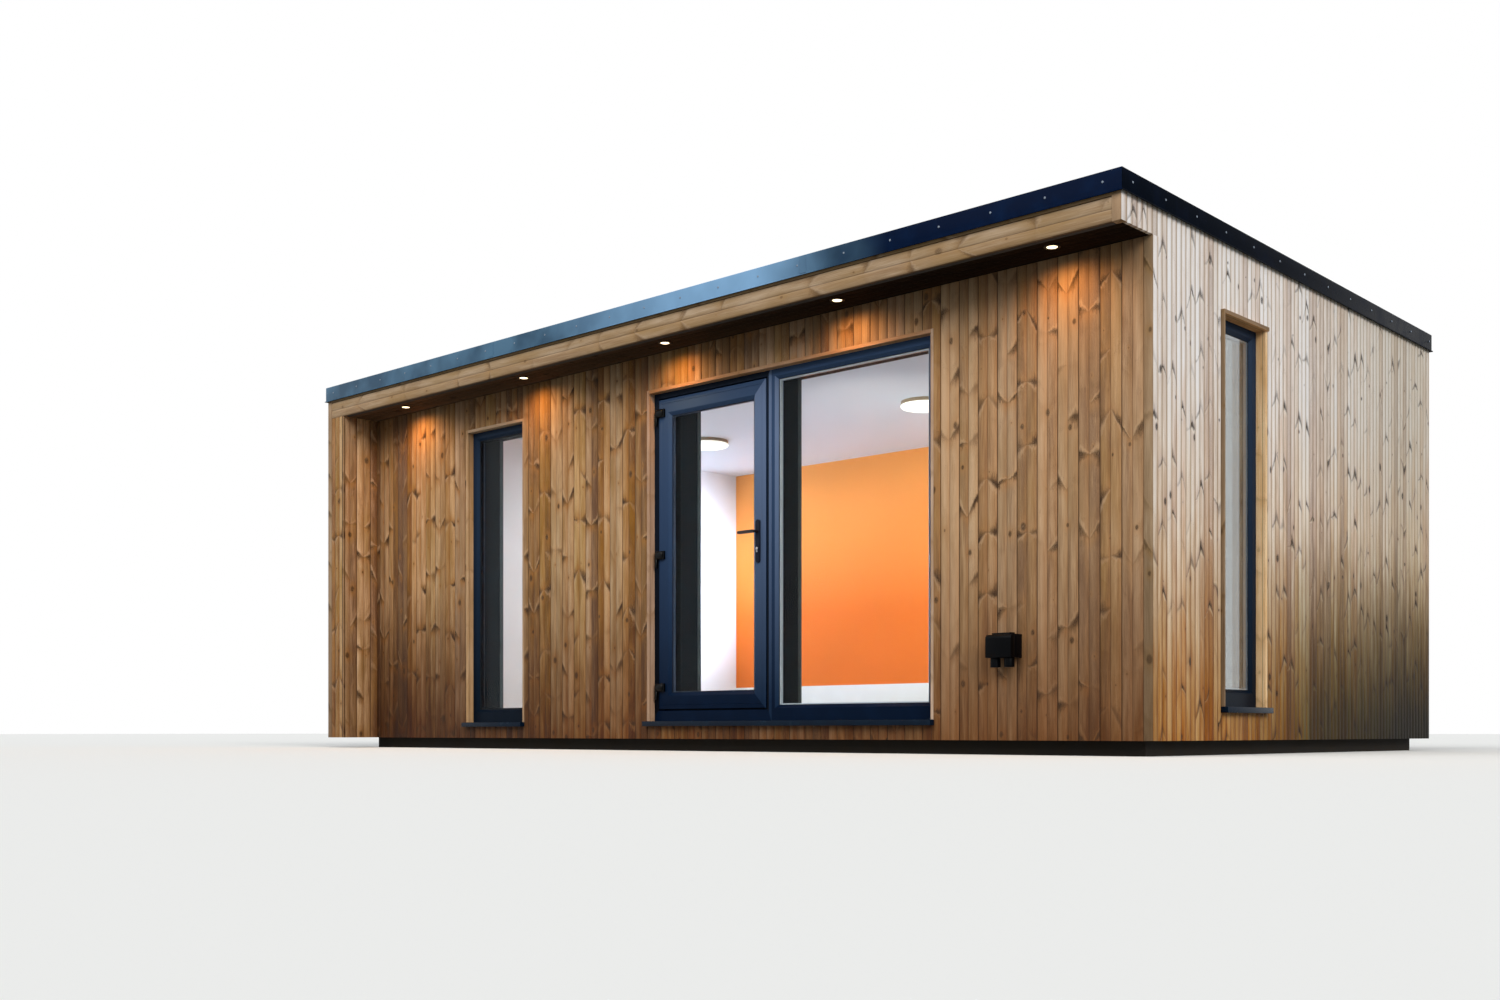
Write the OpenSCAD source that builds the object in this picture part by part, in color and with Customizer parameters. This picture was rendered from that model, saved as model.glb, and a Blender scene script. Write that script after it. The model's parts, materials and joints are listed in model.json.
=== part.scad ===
// Garden office pod: a timber-clad room with a flat roof, a front canopy and a wing wall.
// Millimetres, Z up. The origin is on the ground, in the middle of the roof's outline.

/* [Building] */
// Width over the side cladding
body_w = 6690; // [6500:10:7600]
// Depth from the front wall face to the rear wall face
body_d = 3540; // [3100:10:4200]
// How far the roof comes forward of the front wall
canopy_d = 294; // [220:2:450]
// Gap between the ground and the bottom of the cladding
clad_gap = 75; // [40:1:100]
// Underside of the soffit above the ground
soffit_z = 2464; // [2450:2:2600]
// Underside of the room's ceiling above the ground
ceiling_z = 2361; // [2320:1:2400]
// Height of the timber fascia under the roof trim
fascia_h = 130; // [100:1:180]
// Fall of the roof edge from front to rear
roof_fall = 56; // [30:1:80]

/* [Walls] */
// Boards and battens outside the wall panels, and the corner posts
clad_t = 50; // [40:1:60]
// Insulated wall panels with their inner boards
core_t = 250; // [180:5:280]
// Whole thickness of the wing wall
wing_t = 208; // [170:2:260]
// From the left outer face to the left wall of the room
room_x = 865; // [700:5:1000]
// Thickness of the room's left wall
inner_wall_t = 100; // [80:5:140]

/* [Base and floor] */
// Distance of the base frame behind the cladding face
base_inset = 90; // [60:5:150]
// Width of each bearer of the base frame
bearer_w = 75; // [50:5:120]
// Bays between the bearers
base_bays = 12; // [11:1:16]
// Thickness of the floor boards on the floor panel
floor_t = 18; // [12:1:30]

/* [Openings] */
// Underside of the head lining of all openings
head_z = 2228; // [2150:1:2260]
// Top of the front sills
sill_z = 183; // [160:1:210]
// Top of the side window's sill
side_sill_z = 245; // [220:1:400]
// From the left outer face to the front window
window_x = 1341; // [1250:5:1700]
// Clear width of the front window
window_w = 614; // [400:2:800]
// From the left outer face to the door set
door_x = 3215; // [3000:5:3400]
// Clear width of the door set
door_w = 2176; // [1950:2:2300]
// From the front wall face to the side window
side_y = 713; // [600:1:900]
// Clear width of the side window
side_w = 471; // [400:1:700]
// Thickness of the timber linings of the openings
lining_t = 20; // [15:1:25]
// How far the side window's linings stand out of the cladding
lining_out = 17; // [0:1:20]
// Height of the sills' front edge
sill_h = 30; // [20:1:40]
// How far the sills stand out of the cladding
sill_out = 38; // [25:1:60]
// How far the sills run past the openings
sill_ear = 24; // [10:1:40]

/* [Frames] */
// Depth of the window and door frames
frame_d = 75; // [65:1:90]
// Visible width of a fixed frame at the sides and top
frame_w = 56; // [45:1:80]
// Visible height of a fixed frame at the bottom
frame_foot = 90; // [70:1:120]
// Thickness of the sealed glazing units
glass_t = 28; // [20:1:32]
// Depth of the glass behind the frame's face
glass_set = 18; // [10:1:30]
// Thickness of the boards that line the inner reveals
reveal_t = 40; // [20:1:50]
// Width of the casing behind the frame on the door's hinge side
casing_w = 180; // [60:5:200]
// Thickness of the board behind the mullion
post_t = 28; // [18:2:60]

/* [Door] */
// Width of the door leaf
leaf_w = 906; // [800:2:980]
// Thickness of the door leaf
leaf_t = 55; // [45:1:60]
// Face width of the leaf's stiles and rails
sash_w = 105; // [85:1:125]
// Gap between the leaf and its frame
leaf_gap = 8; // [6:0.5:10]
// Visible frame beside and over the leaf
leaf_margin = 42; // [36:1:50]
// Visible frame under the leaf
leaf_foot = 74; // [60:1:95]
// How far the leaf stands out of its frame
leaf_out = 5; // [2:1:8]
// Width of the mullion between the leaf and the sidelight
mullion_w = 87; // [70:1:110]
// Radius of the hinge barrels
barrel_r = 9; // [8:0.5:11]
// Radius of the hinge pins
pin_r = 4.5; // [3.5:0.5:5.5]
// Height of each hinge
hinge_h = 102; // [80:1:130]
// Lever axis above the bottom of the leaf
lever_up = 1036; // [900:2:1100]
// Length of the lever from its axis to its end
lever_l = 124; // [100:2:140]
// Radius of the lever's neck
neck_r = 8; // [6:0.5:10]
// Height of the lever's backplates
plate_h = 222; // [180:2:260]

/* [Roof edge] */
// Height of the roof trim's face
trim_h = 108; // [90:1:130]
// Thickness of the roof trim's sheet
trim_t = 3; // [2:0.5:5]
// Gap between the cladding and the trim's face
trim_off = 9; // [5:1:15]
// Width of the trim's top flange on the roof
trim_top = 70; // [50:1:100]
// Thickness of the soffit boards
soffit_t = 15; // [10:1:20]

/* [Lights] */
// Number of downlights in the soffit
spot_n = 5; // [2:1:8]
// From the right outer face to the first downlight
spot_x = 451; // [300:5:700]
// From the left outer face to the last downlight
spot_last = 819; // [500:5:1000]
// Radius of a downlight's ring
spot_r = 42; // [30:1:60]
// Radius of the round ceiling lamps
lamp_r = 170; // [120:5:200]
// Height of the round ceiling lamps
lamp_h = 55; // [30:1:90]

/* [Outdoor socket] */
// Place of the socket between the door set and the right corner, as a share of that wall
socket_at = 0.37; // [0.3:0.01:0.7]
// Height of the socket's middle above the ground
socket_z = 551; // [400:1:900]
// Width of the socket
socket_w = 153; // [140:1:200]
// Height of the socket
socket_h = 118; // [100:1:150]
// Depth of the socket's back box
socket_d = 66; // [40:1:80]
// Depth of the hinged cover
cover_d = 34; // [28:1:60]
// Wall of the hinged cover
cover_t = 3; // [2:0.5:4]

/* [Hidden] */
$fn = 48;
wall_t = clad_t + core_t;
roof_d = body_d + canopy_d;
x_l = -body_w / 2;
x_r = body_w / 2;
y_c = -roof_d / 2;
y_f = y_c + canopy_d;
y_r = roof_d / 2;
// Faces of the room
in_l = x_l + wall_t;
in_r = x_r - wall_t;
in_f = y_f + wall_t;
in_b = y_r - wall_t;
room_l = x_l + room_x;
wing_in = x_l + wing_t;
ceiling_t = 15;
plate_z = ceiling_z + ceiling_t;
floor_z = sill_z + floor_t;
// Roof edge: the trim's bottom falls from the front to the rear
edge_front = soffit_z + fascia_h;
trim_lap = 15;
sheet_t = 3;
// Sloping faces are kept this far apart, so that they never cut into each other
seam = 0.05;
function edge_z(y) = edge_front - roof_fall * (y - y_c) / roof_d;
// Openings
win_l = x_l + window_x;
win_r = win_l + window_w;
door_l = x_l + door_x;
door_r = door_l + door_w;
side_f = y_f + side_y;
side_b = side_f + side_w;
top_z = head_z + lining_t;
// Door leaf
leaf_l = door_l + leaf_margin;
leaf_r = leaf_l + leaf_w;
leaf_z0 = sill_z + leaf_foot;
leaf_z1 = head_z - leaf_margin;
frame_y = y_f + clad_t;
leaf_y = frame_y - leaf_out;
stop_w = 15;
stop_gap = 6;
mid_x = leaf_r + mullion_w / 2;
light_l = leaf_r + mullion_w;
// Hinges
pin_clear = 0.05;
axis_x = leaf_l - barrel_r - 4;
axis_y = leaf_y - barrel_r - 2;
hinge_gap = 0.5;
flag_t = 14;
flag_in = 58;
hinge_end = 110;
hinge_drop = 30;
hinge_z = [leaf_z0 + hinge_end, (leaf_z0 + leaf_z1) / 2 - hinge_drop, leaf_z1 - hinge_end];
// Lever
lever_in = 55;
lever_x = leaf_r - lever_in;
lever_z = leaf_z0 + lever_up;
plate_w = 32;
plate_t = 10;
lever_out = 45;
lever_bar = 9;
spindle_r = 5;
cylinder_down = 100;
cylinder_r = 8.5;
cylinder_h = 6;
// Sockets
sock_x = door_r + lining_t + socket_at * (x_r - door_r - lining_t);
sock_y = y_f - socket_d;
sock_top = socket_z + socket_h / 2;
cover_gap = 0.5;
cover_top = sock_top - 1;
cover_round = 22;
cover_pin_r = 2;
ear_r = 4;
ear_w = 10;
ear_x = 52;
pin_z = sock_top + ear_r;
outlet_r = 26;
outlet_h = 48;
outlet_in = 6;

// A box from its two corners
module block(p, q) {
    translate(p) cube(q - p);
}

// A wall outline in Y and Z, drawn out along X
module along_x(x0, x1, outline) {
    translate([x0, 0, 0]) rotate([90, 0, 90]) linear_extrude(x1 - x0) polygon(outline);
}

// A strip that follows the roof's fall between two places in Y
module falling(x0, x1, y0, y1, low, high) {
    along_x(x0, x1, [[y0, edge_z(y0) + low], [y1, edge_z(y1) + low],
        [y1, edge_z(y1) + high], [y0, edge_z(y0) + high]]);
}

// A wall piece whose top follows the roof's fall, up to the deck behind the trim
module upright(x0, x1, y0, y1, z0) {
    top = trim_lap - seam;
    along_x(x0, x1, [[y0, z0], [y1, z0], [y1, edge_z(y1) + top], [y0, edge_z(y0) + top]]);
}

// A rectangular ring that faces -Y: outer corners, then the hole's corners
module ring_y(y0, y1, outer, hole) {
    difference() {
        block([outer[0], y0, outer[1]], [outer[2], y1, outer[3]]);
        block([hole[0], y0 - 1, hole[1]], [hole[2], y1 + 1, hole[3]]);
    }
}

// The same ring in the right wall, facing +X; the depth runs inwards from the face
module ring_x(x0, x1, outer, hole) {
    difference() {
        block([x0, outer[0], outer[1]], [x1, outer[2], outer[3]]);
        block([x0 - 1, hole[0], hole[1]], [x1 + 1, hole[2], hole[3]]);
    }
}

// Base and floor
module base_frame() color("dimgray") {
    x0 = x_l + base_inset;
    x1 = x_r - base_inset;
    y0 = y_f + base_inset;
    y1 = y_r - base_inset;
    bay = (x1 - x0 - bearer_w) / base_bays;
    for (y = [y0, y1 - bearer_w]) block([x0, y, 0], [x1, y + bearer_w, clad_gap]);
    for (i = [0:base_bays]) block([x0 + i * bay, y0, 0], [x0 + i * bay + bearer_w, y1, clad_gap]);
}

module floor() color("darkkhaki") {
    block([x_l + clad_t, frame_y, clad_gap], [x_r - clad_t, y_r - clad_t, sill_z]);
    block([in_l, in_f, sill_z], [in_r, in_b, floor_z]);
    for (x = [[door_l - lining_t + casing_w, mid_x - post_t / 2],
            [mid_x + post_t / 2, door_r + lining_t - reveal_t]])
        block([x[0], frame_y + frame_d, sill_z], [x[1], in_f, floor_z]);
}

// Walls: the cladding goes down past the floor and up behind the roof trim
module front_piece(clad, core) {
    block([clad[0], y_f, clad[1]], [clad[2], frame_y, clad[3]]);
    block([core[0], frame_y, core[1]], [core[2], in_f, core[3]]);
}

module front_wall_left() color("peru")
    front_piece([wing_in, clad_gap, win_l - lining_t, top_z], [in_l, sill_z, win_l - lining_t, top_z]);

module front_wall_middle() color("peru")
    front_piece([win_r + lining_t, clad_gap, door_l - lining_t, top_z],
        [win_r + lining_t, sill_z, door_l - lining_t, top_z]);

module front_wall_right() color("peru")
    front_piece([door_r + lining_t, clad_gap, x_r - clad_t, top_z], [door_r + lining_t, sill_z, in_r, top_z]);

module front_wall_over() color("peru")
    front_piece([wing_in, top_z, x_r - clad_t, soffit_z], [in_l, top_z, in_r, plate_z]);

module front_wall_under() color("peru") {
    block([win_l - lining_t, y_f, clad_gap], [win_r + lining_t, frame_y, sill_z - sill_h]);
    block([door_l - lining_t, y_f, clad_gap], [door_r + lining_t, frame_y, sill_z - sill_h]);
}

module left_wall() color("sienna") {
    y0 = y_c + clad_t;
    y1 = y_r - clad_t;
    upright(x_l, x_l + clad_t, y0, y1, clad_gap);
    block([x_l + clad_t, frame_y, sill_z], [in_l, y1, plate_z]);
}

module wing_wall() color("sienna")
    block([x_l + clad_t, y_c, clad_gap], [wing_in, frame_y, soffit_z]);

module rear_wall() color("peru") {
    upright(x_l + clad_t, x_r - clad_t, y_r - clad_t, y_r, clad_gap);
    block([in_l, in_b, sill_z], [in_r, y_r - clad_t, plate_z]);
}

// A length of the right wall's cladding with its panel behind
module right_piece(y0, y1, clad_top, core_top) {
    block([x_r - clad_t, y0, clad_gap], [x_r, y1, clad_top]);
    block([in_r, y0, sill_z], [x_r - clad_t, y1, core_top]);
}

module right_wall_front() color("tan")
    right_piece(frame_y, side_f - lining_t, top_z, top_z);

module right_wall_rear() color("tan")
    right_piece(side_b + lining_t, y_r - clad_t, top_z, top_z);

// Over the side window, and on past the front wall as the cheek of the canopy
module right_wall_over() color("tan") {
    y0 = y_c + clad_t;
    y1 = y_r - clad_t;
    upright(x_r - clad_t, x_r, y0, frame_y, soffit_z);
    upright(x_r - clad_t, x_r, frame_y, y1, top_z);
    block([in_r, frame_y, top_z], [x_r - clad_t, y1, plate_z]);
}

module right_wall_under() color("tan")
    right_piece(side_f - lining_t, side_b + lining_t, side_sill_z - sill_h, side_sill_z);

module corner_posts() color("burlywood") {
    upright(x_l, x_l + clad_t, y_c, y_c + clad_t, clad_gap);
    upright(x_r - clad_t, x_r, y_c, y_c + clad_t, soffit_z);
    block([x_r - clad_t, y_f, clad_gap], [x_r, frame_y, soffit_z]);
    for (x = [x_l, x_r - clad_t]) upright(x, x + clad_t, y_r - clad_t, y_r, clad_gap);
}

// Canopy
module soffit() color("saddlebrown")
    block([wing_in, y_c + clad_t, soffit_z], [x_r - clad_t, frame_y, soffit_z + soffit_t]);

module fascia() color("burlywood")
    upright(x_l + clad_t, x_r - clad_t, y_c, y_c + clad_t, soffit_z);

// Roof: the deck rests on the wall panels, and its upper layer runs out to the cladding's face
module roof_deck() color("wheat") {
    y0 = y_c + clad_t;
    y1 = y_r - clad_t;
    under = soffit_z + soffit_t;
    for (part = [[x_l + clad_t, wing_in, soffit_z], [wing_in, x_r - clad_t, under]])
        along_x(part[0], part[1], [[y0, part[2]], [frame_y, part[2]], [frame_y, plate_z],
            [y1, plate_z], [y1, edge_z(y1) + trim_lap], [y0, edge_z(y0) + trim_lap]]);
    falling(x_l, x_r, y_c, y_r, trim_lap, trim_h - trim_t - sheet_t);
}

module roof_sheet() color("darkslategray")
    falling(x_l, x_r, y_c, y_r, trim_h - trim_t - sheet_t, trim_h - trim_t - seam);

// Roof trim: a folded sheet with a top flange and a drip along the bottom
lip = 6;
trim_l = x_l - trim_off - trim_t;
trim_r = x_r + trim_off + trim_t;
trim_f = y_c - trim_off - trim_t;
trim_b = y_r + trim_off + trim_t;

module trim_front() color("midnightblue") {
    falling(trim_l, trim_r, trim_f, trim_f + trim_t, 0, trim_h);
    falling(trim_l, trim_r, trim_f, y_c + trim_top, trim_h - trim_t, trim_h);
    falling(trim_l, trim_r, trim_f - lip, trim_f, 0, lip);
}

module trim_rear() color("midnightblue") {
    falling(trim_l, trim_r, trim_b - trim_t, trim_b, 0, trim_h);
    falling(trim_l, trim_r, y_r - trim_top, trim_b, trim_h - trim_t, trim_h);
    falling(trim_l, trim_r, trim_b, trim_b + lip, 0, lip);
}

// Side trim between the front and rear trims; outer face at x, inwards is +1 or -1
module side_trim(face, inward) {
    y0 = y_c + trim_top;
    y1 = y_r - trim_top;
    leg = [face, face + inward * trim_t];
    top = [face, face + inward * (trim_t + trim_off + trim_top)];
    drip = [face, face - inward * lip];
    falling(min(leg), max(leg), y_c - trim_off, y_r + trim_off, 0, trim_h - trim_t - seam);
    falling(min(top), max(top), y0, y1, trim_h - trim_t, trim_h);
    falling(min(drip), max(drip), y_c - trim_off, y_r + trim_off, 0, lip);
}

module trim_sides() color("midnightblue") {
    side_trim(trim_l, 1);
    side_trim(trim_r, -1);
}

// Inside
module ceiling() color("white")
    block([in_l, in_f, ceiling_z], [in_r, in_b, plate_z]);

module room_left_wall() color("white")
    block([room_l - inner_wall_t, in_f, floor_z], [room_l, in_b, ceiling_z]);

skirting_h = 300;
skirting_t = 18;
module skirting() color("snow") {
    block([room_l, in_b - skirting_t, floor_z], [in_r, in_b, floor_z + skirting_h]);
}

// Linings, sills and frames
module window_linings() color("burlywood") {
    ring_y(y_f, frame_y, [win_l - lining_t, sill_z, win_r + lining_t, top_z],
        [win_l, sill_z - 1, win_r, head_z]);
    ring_x(x_r - clad_t, x_r + lining_out, [side_f - lining_t, side_sill_z, side_b + lining_t, top_z],
        [side_f, side_sill_z - 1, side_b, head_z]);
}

module door_lining() color("burlywood")
    ring_y(y_f, frame_y, [door_l - lining_t, sill_z, door_r + lining_t, top_z],
        [door_l, sill_z - 1, door_r, head_z]);

module sill_y(x0, x1, z) {
    block([x0, y_f, z - sill_h], [x1, frame_y, z]);
    block([x0 - sill_ear + lining_t, y_f - sill_out, z - sill_h], [x1 + sill_ear - lining_t, y_f, z]);
}

module sills() color("black") {
    sill_y(win_l - lining_t, win_r + lining_t, sill_z);
    sill_y(door_l - lining_t, door_r + lining_t, sill_z);
    block([x_r - clad_t, side_f - lining_t, side_sill_z - sill_h], [x_r, side_b + lining_t, side_sill_z]);
    block([x_r, side_f - sill_ear, side_sill_z - sill_h], [x_r + sill_out, side_b + sill_ear, side_sill_z]);
}

module front_window_frame() color("darkslateblue")
    ring_y(frame_y, frame_y + frame_d, [win_l - lining_t, sill_z, win_r + lining_t, top_z],
        [win_l + frame_w, sill_z + frame_foot, win_r - frame_w, head_z - frame_w]);

module side_window_frame() color("darkslateblue")
    ring_x(x_r - clad_t - frame_d, x_r - clad_t, [side_f - lining_t, side_sill_z, side_b + lining_t, top_z],
        [side_f + frame_w, side_sill_z + frame_foot, side_b - frame_w, head_z - frame_w]);

module window_glass() color("lightcyan") {
    block([win_l + frame_w, frame_y + glass_set, sill_z + frame_foot],
        [win_r - frame_w, frame_y + glass_set + glass_t, head_z - frame_w]);
    block([x_r - clad_t - glass_set - glass_t, side_f + frame_w, side_sill_z + frame_foot],
        [x_r - clad_t - glass_set, side_b - frame_w, head_z - frame_w]);
}

module door_frame() color("darkslateblue") {
    stop_y = leaf_y + leaf_t + stop_gap;
    ring_y(frame_y, stop_y, [door_l - lining_t, sill_z, mid_x, top_z],
        [leaf_l - leaf_gap, leaf_z0 - leaf_gap, leaf_r + leaf_gap, leaf_z1 + leaf_gap]);
    ring_y(stop_y, frame_y + frame_d, [door_l - lining_t, sill_z, mid_x, top_z],
        [leaf_l + stop_w, leaf_z0 + stop_w, leaf_r - stop_w, leaf_z1 - stop_w]);
}

module sidelight_frame() color("darkslateblue")
    ring_y(frame_y, frame_y + frame_d, [mid_x, sill_z, door_r + lining_t, top_z],
        [light_l, sill_z + frame_foot, door_r - frame_w, head_z - frame_w]);

module sidelight_glass() color("lightcyan")
    block([light_l, frame_y + glass_set, sill_z + frame_foot],
        [door_r - frame_w, frame_y + glass_set + glass_t, head_z - frame_w]);

module inner_reveals() color("darkslategray") {
    y0 = frame_y + frame_d;
    x1 = x_r - clad_t - frame_d;
    ring_y(y0, in_f, [win_l - lining_t, sill_z, win_r + lining_t, top_z],
        [win_l - lining_t + reveal_t, sill_z + reveal_t, win_r + lining_t - reveal_t, top_z - reveal_t]);
    ring_y(y0, in_f, [door_l - lining_t, sill_z, door_r + lining_t, top_z],
        [door_l - lining_t + casing_w, sill_z - 1, door_r + lining_t - reveal_t, top_z - reveal_t]);
    block([mid_x - post_t / 2, y0, sill_z], [mid_x + post_t / 2, in_f, top_z]);
    y1 = side_f - lining_t;
    y2 = side_b + lining_t;
    ring_x(in_r, x1, [y1, side_sill_z, y2, top_z],
        [y1 + reveal_t, side_sill_z + reveal_t, y2 - reveal_t, top_z - reveal_t]);
}

// Door
module door_leaf() color("darkslateblue") difference() {
    ring_y(leaf_y, leaf_y + leaf_t, [leaf_l, leaf_z0, leaf_r, leaf_z1],
        [leaf_l + sash_w, leaf_z0 + sash_w, leaf_r - sash_w, leaf_z1 - sash_w]);
    translate([lever_x, leaf_y - 1, lever_z]) rotate([-90, 0, 0]) cylinder(r = spindle_r * 2, h = leaf_t + 2);
}

module door_glass() color("lightcyan")
    block([leaf_l + sash_w, leaf_y + glass_set, leaf_z0 + sash_w],
        [leaf_r - sash_w, leaf_y + glass_set + glass_t, leaf_z1 - sash_w]);

// A flag hinge: the leaf's knuckle with its flag stands on the frame's knuckle, whose pin runs up into it
knuckle_h = hinge_h / 2;
module hinges_frame() color("black") for (z = hinge_z) {
    translate([axis_x, axis_y, z - knuckle_h]) cylinder(r = barrel_r, h = knuckle_h);
    translate([axis_x, axis_y, z - knuckle_h]) cylinder(r = pin_r, h = knuckle_h * 1.8);
    block([axis_x - barrel_r, axis_y, z - knuckle_h], [axis_x, frame_y, z]);
}

module hinges_leaf() color("black") for (z = hinge_z) {
    low = z + hinge_gap;
    difference() {
        union() {
            translate([axis_x, axis_y, low]) cylinder(r = barrel_r, h = knuckle_h);
            block([axis_x, leaf_y - flag_t, low], [leaf_l + flag_in, leaf_y, low + knuckle_h]);
        }
        translate([axis_x, axis_y, low - 1]) cylinder(r = pin_r + pin_clear, h = knuckle_h - 6);
    }
}

module rounded_plate(y0, y1) {
    z0 = lever_z - plate_h + plate_h / 4;
    difference() {
        union() {
            block([lever_x - plate_w / 2, y0, z0], [lever_x + plate_w / 2, y1, z0 + plate_h]);
            for (z = [z0, z0 + plate_h])
                translate([lever_x, y0, z]) rotate([-90, 0, 0]) cylinder(r = plate_w / 2, h = y1 - y0);
        }
        translate([lever_x, y0 - 1, lever_z]) rotate([-90, 0, 0])
            cylinder(r = neck_r + pin_clear, h = y1 - y0 + 2);
    }
}

module handle_plates() color("black") {
    y1 = leaf_y + leaf_t;
    rounded_plate(leaf_y - plate_t, leaf_y);
    rounded_plate(y1, y1 + plate_t);
    for (y = [leaf_y - plate_t - cylinder_h, y1 + plate_t])
        translate([lever_x, y, lever_z - cylinder_down]) rotate([-90, 0, 0])
            cylinder(r = cylinder_r, h = cylinder_h);
}

module lever() color("black") {
    y0 = leaf_y - plate_t - lever_out;
    y1 = leaf_y + leaf_t + plate_t + lever_out;
    for (y = [[y0, leaf_y], [leaf_y + leaf_t, y1]])
        translate([lever_x, y[0], lever_z]) rotate([-90, 0, 0]) cylinder(r = neck_r, h = y[1] - y[0]);
    translate([lever_x, leaf_y - 1, lever_z]) rotate([-90, 0, 0]) cylinder(r = spindle_r, h = leaf_t + 2);
    for (y = [y0, y1 - 2 * lever_bar]) {
        block([lever_x - lever_l + lever_bar, y, lever_z - lever_bar],
            [lever_x, y + 2 * lever_bar, lever_z + lever_bar]);
        translate([lever_x - lever_l + lever_bar, y, lever_z]) rotate([-90, 0, 0])
            cylinder(r = lever_bar, h = 2 * lever_bar);
    }
}

// Outdoor socket with a cover that hinges at the top on a pin between two ears
module socket_box() color("black") {
    z0 = socket_z - socket_h / 2;
    block([sock_x - socket_w / 2, y_f - socket_d, z0], [sock_x + socket_w / 2, y_f, sock_top]);
    for (s = [-1, 1]) {
        translate([sock_x + s * socket_w * 0.27, sock_y + outlet_in, z0 - outlet_h])
            cylinder(r = outlet_r, h = outlet_h);
        translate([sock_x + s * ear_x - ear_w / 2, 0, 0]) {
            block([0, sock_y, sock_top], [ear_w, y_f - socket_d / 2, pin_z + ear_r]);
            translate([0, sock_y, pin_z]) rotate([0, 90, 0]) cylinder(r = ear_r, h = ear_w);
        }
    }
    translate([sock_x - ear_x, sock_y, pin_z]) rotate([0, 90, 0]) cylinder(r = cover_pin_r, h = 2 * ear_x);
}

module socket_cover() color("black") {
    y1 = sock_y - cover_gap;
    z0 = socket_z - socket_h / 2;
    barrel_l = 2 * ear_x - ear_w - 2 * cover_gap;
    difference() {
        union() {
            difference() {
                cover_form(y1, z0, 0);
                cover_form(y1 + 1, z0 - 1, cover_t);
            }
            translate([sock_x - barrel_l / 2, sock_y, pin_z]) rotate([0, 90, 0])
                cylinder(r = ear_r, h = barrel_l);
            block([sock_x - barrel_l / 2, sock_y - ear_r, cover_top - cover_t],
                [sock_x + barrel_l / 2, sock_y - cover_gap, pin_z]);
        }
        translate([sock_x - barrel_l / 2 - 1, sock_y, pin_z]) rotate([0, 90, 0])
            cylinder(r = cover_pin_r + pin_clear, h = barrel_l + 2);
    }
}

// The cover's outline: a block whose upper front edge is round
module cover_form(y1, z0, inset) {
    r = cover_round - inset;
    y0 = sock_y - cover_gap - cover_d + inset;
    z1 = cover_top - inset;
    w = socket_w - 2 * inset;
    translate([sock_x - w / 2, 0, 0]) rotate([90, 0, 90]) linear_extrude(w) union() {
        translate([y0, z0]) square([y1 - y0, z1 - r - z0]);
        translate([y0 + r, z0]) square([y1 - y0 - r, z1 - z0]);
        intersection() {
            translate([y0 + r, z1 - r]) circle(r);
            translate([y0, z1 - r]) square(r);
        }
    }
}

// Lights
spot_ring = 4;
spot_y = y_c + canopy_d * 0.45;
spot_pitch = (body_w - spot_x - spot_last) / (spot_n - 1);
module downlights() color("white") for (i = [0:spot_n - 1])
    translate([x_r - spot_x - i * spot_pitch, spot_y, soffit_z - spot_ring])
        cylinder(r = spot_r, h = spot_ring);

lamp_x = 995;
lamp_pitch = 2100;
lamp_back = 100;
module ceiling_lamps() color("white") for (x = [room_l + lamp_x, room_l + lamp_x + lamp_pitch])
    translate([x, (in_f + in_b) / 2 + lamp_back, ceiling_z - lamp_h])
        cylinder(r = lamp_r, h = lamp_h);

base_frame();
floor();
front_wall_left();
front_wall_middle();
front_wall_right();
front_wall_over();
front_wall_under();
left_wall();
wing_wall();
rear_wall();
right_wall_front();
right_wall_rear();
right_wall_over();
right_wall_under();
corner_posts();
soffit();
fascia();
roof_deck();
roof_sheet();
trim_front();
trim_rear();
trim_sides();
ceiling();
room_left_wall();
skirting();
window_linings();
door_lining();
sills();
front_window_frame();
side_window_frame();
window_glass();
door_frame();
sidelight_frame();
sidelight_glass();
inner_reveals();
door_leaf();
door_glass();
hinges_frame();
hinges_leaf();
handle_plates();
lever();
socket_box();
socket_cover();
downlights();
ceiling_lamps();
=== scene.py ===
import json
import math
from functools import partial

import bmesh
import bpy
from mathutils import Matrix, Vector

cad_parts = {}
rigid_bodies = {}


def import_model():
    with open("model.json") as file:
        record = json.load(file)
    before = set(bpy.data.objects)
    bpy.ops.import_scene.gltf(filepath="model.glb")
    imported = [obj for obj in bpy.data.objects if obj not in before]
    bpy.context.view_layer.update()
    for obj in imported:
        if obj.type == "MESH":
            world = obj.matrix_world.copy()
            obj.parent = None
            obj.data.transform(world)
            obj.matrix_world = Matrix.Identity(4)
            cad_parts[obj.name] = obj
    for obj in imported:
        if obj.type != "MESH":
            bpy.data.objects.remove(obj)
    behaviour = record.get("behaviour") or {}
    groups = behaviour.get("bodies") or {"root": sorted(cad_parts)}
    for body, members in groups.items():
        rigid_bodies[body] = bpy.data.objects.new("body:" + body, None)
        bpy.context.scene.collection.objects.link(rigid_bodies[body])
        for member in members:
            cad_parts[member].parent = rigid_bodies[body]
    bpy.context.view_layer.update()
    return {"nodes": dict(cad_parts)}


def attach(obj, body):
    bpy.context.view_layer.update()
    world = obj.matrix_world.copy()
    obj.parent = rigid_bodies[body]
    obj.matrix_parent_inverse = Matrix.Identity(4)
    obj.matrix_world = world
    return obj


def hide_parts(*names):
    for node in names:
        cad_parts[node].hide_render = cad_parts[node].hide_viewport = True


for leftover in list(bpy.data.objects):
    bpy.data.objects.remove(leftover)
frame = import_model()


# ---- Camera -------------------------------------------------------------------------------------
# Low in front of the right-hand corner, a hand's breadth above the ground and level, with the lens
# shifted up so that the walls stay upright.


def placed(name, data):
    """A new object in the scene that holds that data."""
    made = bpy.data.objects.new(name, data)
    bpy.context.scene.collection.objects.link(made)
    return made


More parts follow.
